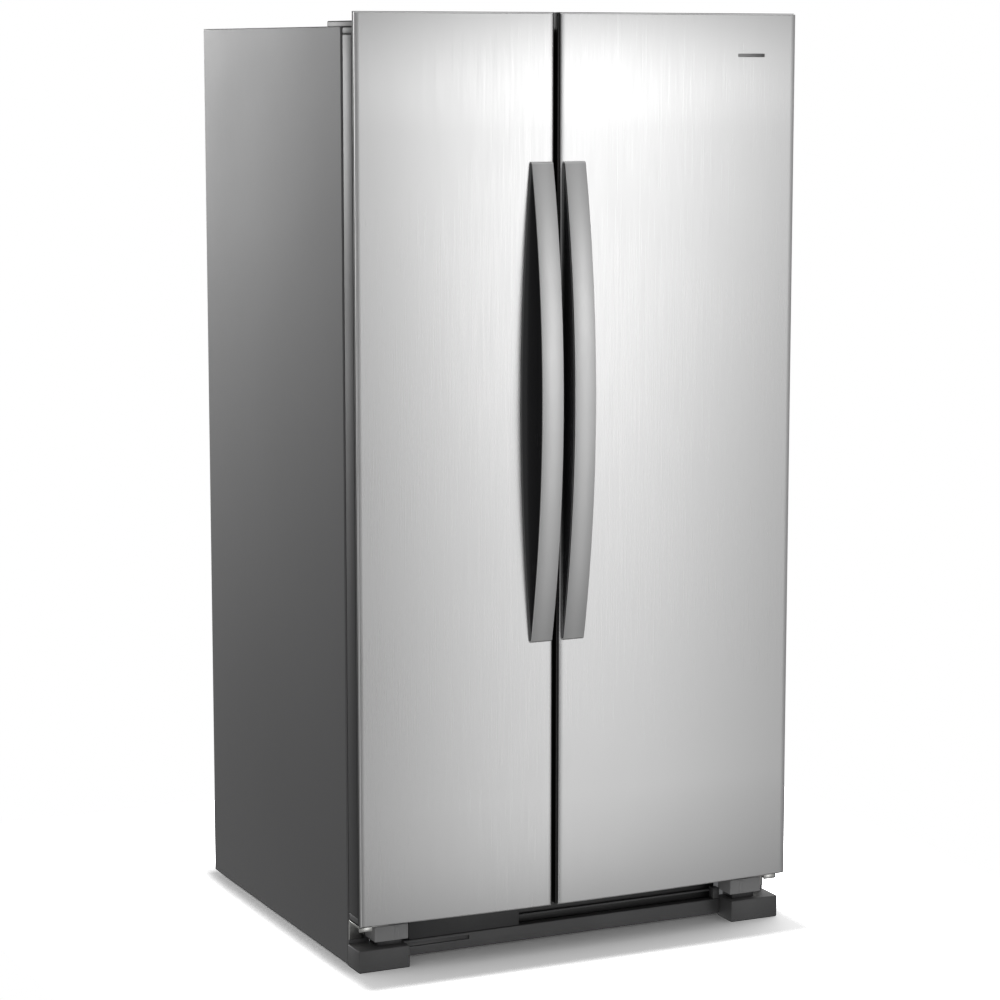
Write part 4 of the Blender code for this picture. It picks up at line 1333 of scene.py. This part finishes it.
# %% Fans
def fan_wheel(name, centre, axis, radius, depth):
    turn = Vector((0, 0, 1)).rotation_difference(Vector(axis)).to_matrix()
    parts = [
        turned(
            "hub",
            [
                (radius * 0.22, -depth / 2), (radius * 0.29, -depth / 2 + 0.002), (radius * 0.30, 0.0),
                (radius * 0.29, depth / 2 - 0.002), (radius * 0.20, depth / 2),
            ],
            centre, axis, 40,
        ),
    ]
    for blade in range(5):
        around = 2 * math.pi * blade / 5
        rings = []
        for k in range(9):
            reach = radius * (0.25 + 0.72 * k / 8)
            pitch = math.radians(38 - 16 * k / 8)
            chord = radius * (0.36 + 0.16 * math.sin(math.pi * min(1.0, k / 6)))
            ring = []
            for along, lift in (
                (-0.5, 0.0), (-0.2, 0.0011), (0.15, 0.0012), (0.5, 0.0002), (0.5, -0.0002), (0.15, -0.0008),
                (-0.2, -0.0008),
            ):
                side_way = along * chord * math.cos(pitch) - lift * math.sin(pitch)
                height = along * chord * math.sin(pitch) + lift * math.cos(pitch)
                flat = Vector((reach, side_way, height * 0.75))
                spun = Matrix.Rotation(around, 3, "Z") @ flat
                ring.append(turn @ spun + Vector(centre))
            rings.append(ring)
        parts.append(skin("blade", rings))
    return joined(name, *parts)


for name, body in (("evaporator", "evaporator_rotor"), ("condenser", "condenser_rotor")):
    joint = next(j for j in frame["joints"] if j["child"] == body)
    low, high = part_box(f"{name}_fan")
    axis = Vector(joint["axis"])
    reach = 0.055 if name == "evaporator" else 0.068
    depth = 0.024 if name == "evaporator" else 0.030
    wheel = fan_wheel(f"{name}_blades", joint["pos_m"], axis, reach, depth)
    fit(wheel, dark_moulding, body, [f"{name}_fan"])

# %% [markdown]
# ## The two rooms
# Each compartment is one vacuum-formed sheet of white plastic. Forming leaves every inner corner
# round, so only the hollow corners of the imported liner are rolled. Ledges carry the shelves.

# %% Liners
HOLLOW_ANGLE = math.radians(30)
SHORTEST_CORNER = 0.05


def formed(node_name, name, radius):
    """A packed shell whose hollow corners are rounded, as forming leaves them."""
    bm = bmesh.new()
    bm.from_mesh(nodes[node_name].data)
    bmesh.ops.remove_doubles(bm, verts=bm.verts, dist=1e-5)
    bmesh.ops.dissolve_limit(bm, angle_limit=math.radians(1), verts=bm.verts, edges=bm.edges)
    shared = [e for e in bm.edges if len(e.link_faces) == 2]
    hollow = [e for e in shared if e.calc_face_angle_signed() < -HOLLOW_ANGLE]
    inside = [e for e in hollow if e.calc_length() > SHORTEST_CORNER]
    bmesh.ops.bevel(bm, geom=inside, offset=radius, segments=5, profile=0.5, affect="EDGES", clamp_overlap=True)
    return new_object(name, bm, outwards=False)


for name in ("freezer", "fridge"):
    room = formed(f"{name}_liner", f"{name}_room_sheet", 0.005)
    fit(room, liner_white, "cabinet", [f"{name}_liner"])
    low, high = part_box(f"{name}_liner")
    for place in ("upper", "lower"):
        shelf_low, shelf_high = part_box(f"{name}_shelf_{place}")
        for x, hand in ((low.x + 0.0021, 1), (high.x - 0.0021, -1)):
            ledge_z = (shelf_high.z - 0.0125, shelf_high.z - 0.0055)
            ledge_y = (shelf_low.y + 0.010, shelf_high.y - 0.008)
            ledge = block(
                f"{name}_{place}_ledge_{'near' if hand > 0 else 'far'}", sorted((x, x + hand * 0.009)), ledge_y,
                ledge_z, 0.002, 3,
            )
            fit(ledge, liner_white, "cabinet")

# %% [markdown]
# Shelves are tempered glass in a moulded rim. The rim is swept round the plate and deepens along
# the front, where a hand meets it.

# %% Clear materials
def clear(name, colour, rough, tint, weight, ior):
    """Glass or clear plastic: it lets light through, with a film that moves its gloss a little."""
    material = finish(name, colour, rough, drift=0.01, pits=500, pit_depth=0.000004, film=5)
    shader = material.node_tree.nodes["Principled BSDF"]
    shader.inputs["Transmission Weight"].default_value = weight
    shader.inputs["IOR"].default_value = ior
    material.diffuse_color = (*tint, 0.4)
    return material


shelf_glass = clear("shelf_glass", (0.90, 0.96, 0.945), (0.02, 0.05), (0.85, 0.95, 0.92), 0.94, 1.50)
clear_plastic = clear("clear_plastic", (0.93, 0.955, 0.97), (0.06, 0.13), (0.9, 0.95, 1.0), 0.82, 1.49)
lens_plastic = clear("lens_plastic", (0.95, 0.95, 0.94), (0.28, 0.40), (1.0, 1.0, 0.98), 0.55, 1.49)

# %% Shelves
for node_name in ("fridge_shelf_upper", "fridge_shelf_lower", "freezer_shelf_upper", "freezer_shelf_lower"):
    low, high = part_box(node_name)
    top = high.z
    rim_profile = [
        (-0.010, top), (-0.0006, top), (0.0, top - 0.0008), (0.0, top - 0.0050), (-0.0008, top - 0.0054),
        (-0.0100, top - 0.0054), (-0.0100, top - 0.0046), (-0.0052, top - 0.0046), (-0.0052, top - 0.0006),
        (-0.0100, top - 0.0006),
    ]
    rim = ring_round(f"{node_name}_rim", (low.x, high.x), (low.y, high.y), 0.008, rim_profile, upright=False)
    fit(rim, part_white, "cabinet", [node_name])
    plate = block(
        f"{node_name}_glass", within(low.x, high.x, 0.0054), within(low.y, high.y, 0.0054),
        (top - 0.0045, top - 0.0007), 0.0008,
    )
    fit(plate, shelf_glass, "cabinet")
    brow = block(
        f"{node_name}_front", within(low.x, high.x, 0.004), (low.y, low.y + 0.006), (low.z, top - 0.0056),
        0.0018, 3,
    )
    fit(brow, part_white, "cabinet")
    tail = block(
        f"{node_name}_tail", within(low.x, high.x, 0.006), (high.y - 0.004, high.y),
        (top - 0.012, top - 0.0056), 0.0014,
    )
    fit(tail, part_white, "cabinet")

# %% [markdown]
# The crispers, bins and basket are open trays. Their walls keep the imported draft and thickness, and
# every edge gets a moulding radius. A rounded grip bar runs along each drawer's pull.

# %% Trays
eased("crisper_frame", "crisper_cage", 0.0010, part_white)
trays = (
    ("crisper_upper", "crisper_drawer_upper", clear_plastic, "clear_plastic"),
    ("crisper_lower", "crisper_drawer_lower", clear_plastic, "clear_plastic"),
    ("freezer_basket", "freezer_drawer", part_white, "white_liner"),
    ("freezer_bin", "freezer_door", clear_plastic, "clear_plastic"),
    ("fridge_bin_upper", "fridge_door", clear_plastic, "clear_plastic"),
    ("fridge_bin_lower", "fridge_door", clear_plastic, "clear_plastic"),
)
for node_name, body, plastic, slot in trays:
    tray = softened(node_name, f"{node_name}_tray", 0.0009)
    fit(tray, plastic, body, [node_name])
    low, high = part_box(node_name)
    if body.endswith("_door"):
        band_z = (high.z - 0.016, high.z - 0.001)
        band = block(
            f"{node_name}_band", within(low.x, high.x, 0.012), (high.y - 0.0004, high.y + 0.0010), band_z,
            0.0005,
        )
    else:
        band_z = (high.z - 0.0225, high.z - 0.0195)
        band = block(f"{node_name}_band", within(low.x, high.x, 0.020), (low.y, low.y + 0.009), band_z, 0.0012)
    fit(band, part_white, body)

# %% [markdown]
# ## Controls and light
# Two dials stand on a housing under the fridge's ceiling. Tick marks stand round each in an arc, so
# a second tree spreads them: an arc, points along it, and a mark turned with the arc at each point.

# %% The arc of marks
arc_tree, given, out, arc_keys = start_tree(
    "Arc Of Marks",
    [
        ("Centre", "NodeSocketVector"), ("Radius", "NodeSocketFloat"), (
            "Start Angle", "NodeSocketFloat",
        ), ("Sweep", "NodeSocketFloat"),
        ("Count", "NodeSocketInt"), ("Mark", "NodeSocketVector"), ("Finish", "NodeSocketMaterial"),
    ],
)
sweep = node(
    arc_tree, "GeometryNodeCurveArc",
    {
        "Resolution": 96, "Radius": given["Radius"], "Start Angle": given["Start Angle"],
        "Sweep Angle": given["Sweep"],
    },
    mode="RADIUS",
)
dots = node(
    arc_tree, "GeometryNodeCurveToPoints", {"Curve": sweep.outputs[0], "Count": given["Count"]}, mode="COUNT",
)
mark = node(arc_tree, "GeometryNodeMeshCube", {"Size": given["Mark"]})
ticks = node(
    arc_tree, "GeometryNodeInstanceOnPoints",
    {"Points": dots.outputs["Points"], "Instance": mark.outputs["Mesh"], "Rotation": dots.outputs["Rotation"]},
)
tipped = node(
    arc_tree, "GeometryNodeTransform",
    {"Geometry": ticks.outputs[0], "Translation": given["Centre"], "Rotation": (math.pi / 2, 0.0, 0.0)},
)
real = node(arc_tree, "GeometryNodeRealizeInstances", {0: tipped.outputs[0]})
inked = node(arc_tree, "GeometryNodeSetMaterial", {0: real.outputs[0], "Material": given["Finish"]})
arc_tree.links.new(inked.outputs[0], out.inputs[0])
mark_grey = finish(
    "mark_grey", (0.16, 0.17, 0.18), (0.42, 0.52), drift=0.1, pits=900, pit_depth=0.00001, film=30,
)

# %% Housing, dials and lamp cover
KNOB_FLUTES = 24
eased("control_housing", "dial_housing", 0.0030, part_white, 3)
face_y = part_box("control_housing")[0].y
for name, body in (("freezer_knob", "freezer_control"), ("fridge_knob", "fridge_control")):
    joint = next(j for j in frame["joints"] if j["child"] == body)
    centre = Vector(joint["pos_m"])
    marks = grown(
        f"{name}_marks", arc_tree, arc_keys,
        {
            "Centre": (
                centre.x, face_y - 0.00005, centre.z,
            ), "Radius": 0.0225, "Start Angle": math.radians(-45),
            "Sweep": math.radians(270), "Count": 11, "Mark": (0.0028, 0.0004, 0.0008), "Finish": mark_grey,
        },
    )
    fit(marks, mark_grey, "cabinet")

    def fluted(angle, radius):
        return 0.00035 * math.cos(KNOB_FLUTES * angle) if 0.0095 < radius < 0.0130 else 0.0

    grip = [
        (0.0158, 0.0), (0.0176, 0.0006), (0.0180, 0.0016), (0.0180, 0.0052), (0.0170, 0.0062), (0.0126, 0.0070),
        (0.0118, 0.0082), (0.0113, 0.0138), (0.0100, 0.0150), (0.0070, 0.0155), (0.0001, 0.0155), (0.0001, 0.0),
    ]
    knob = ring_turned(f"{name}_dial", grip, centre, (0, -1, 0), 144, fluted)
    fit(knob, dark_moulding, body, [name])
    pointer_y = (centre.y - 0.01545, centre.y - 0.0150)
    pointer = block(
        f"{name}_pointer", (centre.x - 0.0007, centre.x + 0.0007), pointer_y,
        (centre.z + 0.002, centre.z + 0.0085), 0.0002,
    )
    fit(pointer, part_white, body)
eased("lamp_lens", "lamp_cover", 0.0030, lens_plastic, 3)
low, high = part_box("lamp_lens")
rib = block(
    "rib_pattern", (-0.0008, 0.0008), (-(high.y - low.y) / 2 + 0.012, (high.y - low.y) / 2 - 0.012),
    (-0.0006, 0.0006), 0.0003, 1,
)
pattern_of(rib)
ribs = row_of(
    "lamp_ribs", rib, (low.x + 0.014, (low.y + high.y) / 2, low.z - 0.0002),
    (high.x - 0.014, (low.y + high.y) / 2, low.z - 0.0002), 24, lens_plastic,
)
fit(ribs, lens_plastic, "cabinet")
bpy.data.objects.remove(rib)
eased("evaporator_cover", "fan_cover", 0.0008, liner_white)
low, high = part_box("evaporator_cover")
flute = block("flute_pattern", (-0.004, 0.004), (-0.0008, 0.0008), (-0.17, 0.17), 0.0007, 2)
pattern_of(flute)
flutes = row_of(
    "cover_flutes", flute, (low.x + 0.03, low.y - 0.0004, 0.61), (high.x - 0.03, low.y - 0.0004, 0.61), 11,
    liner_white,
)
fit(flutes, liner_white, "cabinet")
bpy.data.objects.remove(flute)
bpy.data.objects.remove(screw)

# %% Door switches
for name in ("freezer", "fridge"):
    low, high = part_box(f"{name}_door_switch")
    radius = (high.x - low.x) / 2
    centre = ((low.x + high.x) / 2, low.y, (low.z + high.z) / 2)
    profile = [(radius * 0.45, 0.0), (radius * 0.85, 0.0006), (radius, 0.0020), (radius, high.y - low.y)]
    plunger = turned(f"{name}_plunger", profile, centre, (0, 1, 0), 28)
    fit(plunger, part_white, f"{name}_plunger", [f"{name}_door_switch"])
left_over = sorted(set(nodes) - {n for n in nodes if nodes[n].hide_render})
print("packed nodes still shown:", left_over)

# %% [markdown]
# ## Set for a plain picture
# A pale floor runs out to the background. It only catches the soft shadow where the feet stand. The
# light comes from all round: bright above and in front, fainter towards the floor, so each door
# carries one broad sheen that fades downwards.

# %% Floor
mesh = bpy.data.meshes.new("floor")
FLOOR_HALF = 1.0
corners = [(a * FLOOR_HALF, b * FLOOR_HALF, 0.0) for a, b in ((-1, -1), (1, -1), (1, 1), (-1, 1))]
mesh.from_pydata(corners, [], [(0, 1, 2, 3)])
ground = bpy.data.objects.new("floor", mesh)
bpy.context.scene.collection.objects.link(ground)
SHADOW_REACH = 0.085  # how far past the object its soft shadow is drawn
floor_white = bpy.data.materials.new("floor_white")
floor_white.use_nodes = True
tree = floor_white.node_tree
shell = tree.nodes["Principled BSDF"]
shell.inputs["Base Color"].default_value = (0.85, 0.85, 0.85, 1.0)
shell.inputs["Roughness"].default_value = 0.8
place = node(tree, "ShaderNodeTexCoord").outputs["Object"]
spot = node(tree, "ShaderNodeSeparateXYZ", {0: place})


def beyond(value, half):
    """How far a place lies outside the object's footprint along one axis, zero inside it."""
    past = maths(tree, "SUBTRACT", maths(tree, "ABSOLUTE", value), half)
    return maths(tree, "MAXIMUM", past, 0.0)


half_width = (cad_high.x - cad_low.x) / 2
half_depth = (cad_high.y - cad_low.y) / 2
outside = node(
    tree, "ShaderNodeCombineXYZ",
    {0: beyond(spot.outputs["X"], half_width), 1: beyond(spot.outputs["Y"], half_depth)},
)
gap = node(tree, "ShaderNodeVectorMath", {0: outside.outputs[0]}, operation="LENGTH").outputs["Value"]
fade = node(
    tree, "ShaderNodeMapRange",
    {"Value": gap, "From Min": 0.0, "From Max": SHADOW_REACH, "To Min": 1.0, "To Max": 0.0},
    interpolation_type="SMOOTHSTEP",
).outputs[0]
tree.links.new(fade, shell.inputs["Alpha"])
mesh.materials.append(floor_white)
ground.is_shadow_catcher = True
ground.visible_glossy = False
ground.visible_diffuse = False
ground.visible_shadow = False

# %% [markdown]
# The surroundings are a drawn studio: white where the camera looks past the object, and otherwise
# a soft dome with one tall bright card in front on the right and another behind on the left.

# %% World
scene = bpy.context.scene
world = bpy.data.worlds.new("studio")
scene.world = world
world.use_nodes = True
sky = world.node_tree
sky.nodes.clear()
direction = node(sky, "ShaderNodeTexCoord").outputs["Generated"]
axes = node(sky, "ShaderNodeSeparateXYZ", {0: direction})


def ramp(value, stops):
    """A value looked up along straight lines between stops of (position, level)."""
    total = stops[0][1]
    for (start, low), (end, high) in zip(stops, stops[1:]):
        if low == high:
            continue
        inputs = {"Value": value, "From Min": start, "From Max": end, "To Min": 0.0, "To Max": high - low}
        total = maths(sky, "ADD", node(sky, "ShaderNodeMapRange", inputs).outputs[0], total)
    return total


DEGREE = math.pi / 180
elevation = maths(sky, "MULTIPLY", maths(sky, "ARCSINE", axes.outputs["Z"]), 1 / DEGREE)
azimuth = maths(
    sky, "MULTIPLY", maths(sky, "ARCTAN2", axes.outputs["X"], maths(sky, "MULTIPLY", axes.outputs["Y"], -1.0)),
    1 / DEGREE,
)

# %% [markdown]
# Each card is a level by azimuth times a level by elevation, in degrees. Azimuth 0 is straight in
# front, and positive is to the right. A door reflects the front card, the left side the one behind.

# %% Cards
AMBIENT = [(14, 0.23), (50, 0.60)]
FRONT_CARD = [(15, 0.0), (25, 5.6), (35, 1.4), (45, 0.0)]
FRONT_LEVELS = [(-30, 0.0), (-20, 0.34), (-12, 0.18), (-4, 0.46), (4, 1.0), (14, 0.0)]
BACK_CARD = [(-179, 0.0), (-165, 8.6), (-150, 2.2), (-135, 0.0)]
BACK_LEVELS = [(-12, 0.0), (-4, 0.18), (4, 1.0), (14, 0.0)]
RIGHT_FILL = [(70, 0.0), (100, 1.0), (165, 1.0), (178, 0.0)]
RIGHT_LEVELS = [(-30, 0.1), (0, 0.7), (50, 1.0)]
LEFT_FILL = [(-80, 0.0), (-60, 0.6), (-30, 0.6), (-12, 0.0)]
LEFT_LEVELS = [(-50, 0.8), (-20, 1.0), (0, 0.7), (25, 0.0)]


def card_light(across, upright):
    return maths(sky, "MULTIPLY", ramp(azimuth, across), ramp(elevation, upright))


glow = ramp(elevation, AMBIENT)
for across, upright in (
    (FRONT_CARD, FRONT_LEVELS), (BACK_CARD, BACK_LEVELS), (RIGHT_FILL, RIGHT_LEVELS), (LEFT_FILL, LEFT_LEVELS),
):
    glow = maths(sky, "ADD", glow, card_light(across, upright))
seen = node(sky, "ShaderNodeLightPath").outputs["Is Camera Ray"]
lit = node(sky, "ShaderNodeBackground", {"Color": (1, 1, 1, 1), "Strength": glow})
plain = node(sky, "ShaderNodeBackground", {"Color": (1, 1, 1, 1), "Strength": 1.0})
choice = node(sky, "ShaderNodeMixShader", {0: seen, 1: lit.outputs[0], 2: plain.outputs[0]})
sky_out = node(sky, "ShaderNodeOutputWorld", {"Surface": choice.outputs[0]})
print("world ready")

# %% [markdown]
# The camera stands a little above the middle, off to the left, with a long lens, so that the left
# side shows as a narrow grey face beside the doors.

# %% Camera
CAMERA_OFFSET = Vector((-2.4894, -5.3241, 0.80715))
CAMERA_YAW = -25.111
CAMERA_PITCH = -8.470
LENS_MM = 107.97
SENSOR_MM = 36.0
lens = bpy.data.cameras.new("camera")
lens.lens = LENS_MM
lens.sensor_width = SENSOR_MM
eye = bpy.data.objects.new("camera", lens)
scene.collection.objects.link(eye)
middle = Vector(((cad_low.x + cad_high.x) / 2, 0.0, (cad_low.z + cad_high.z) / 2))
eye.location = middle + CAMERA_OFFSET
eye.rotation_euler = (math.radians(90 + CAMERA_PITCH), 0.0, math.radians(CAMERA_YAW))
scene.camera = eye
scene.view_settings.view_transform = "Standard"
scene.view_settings.look = "None"
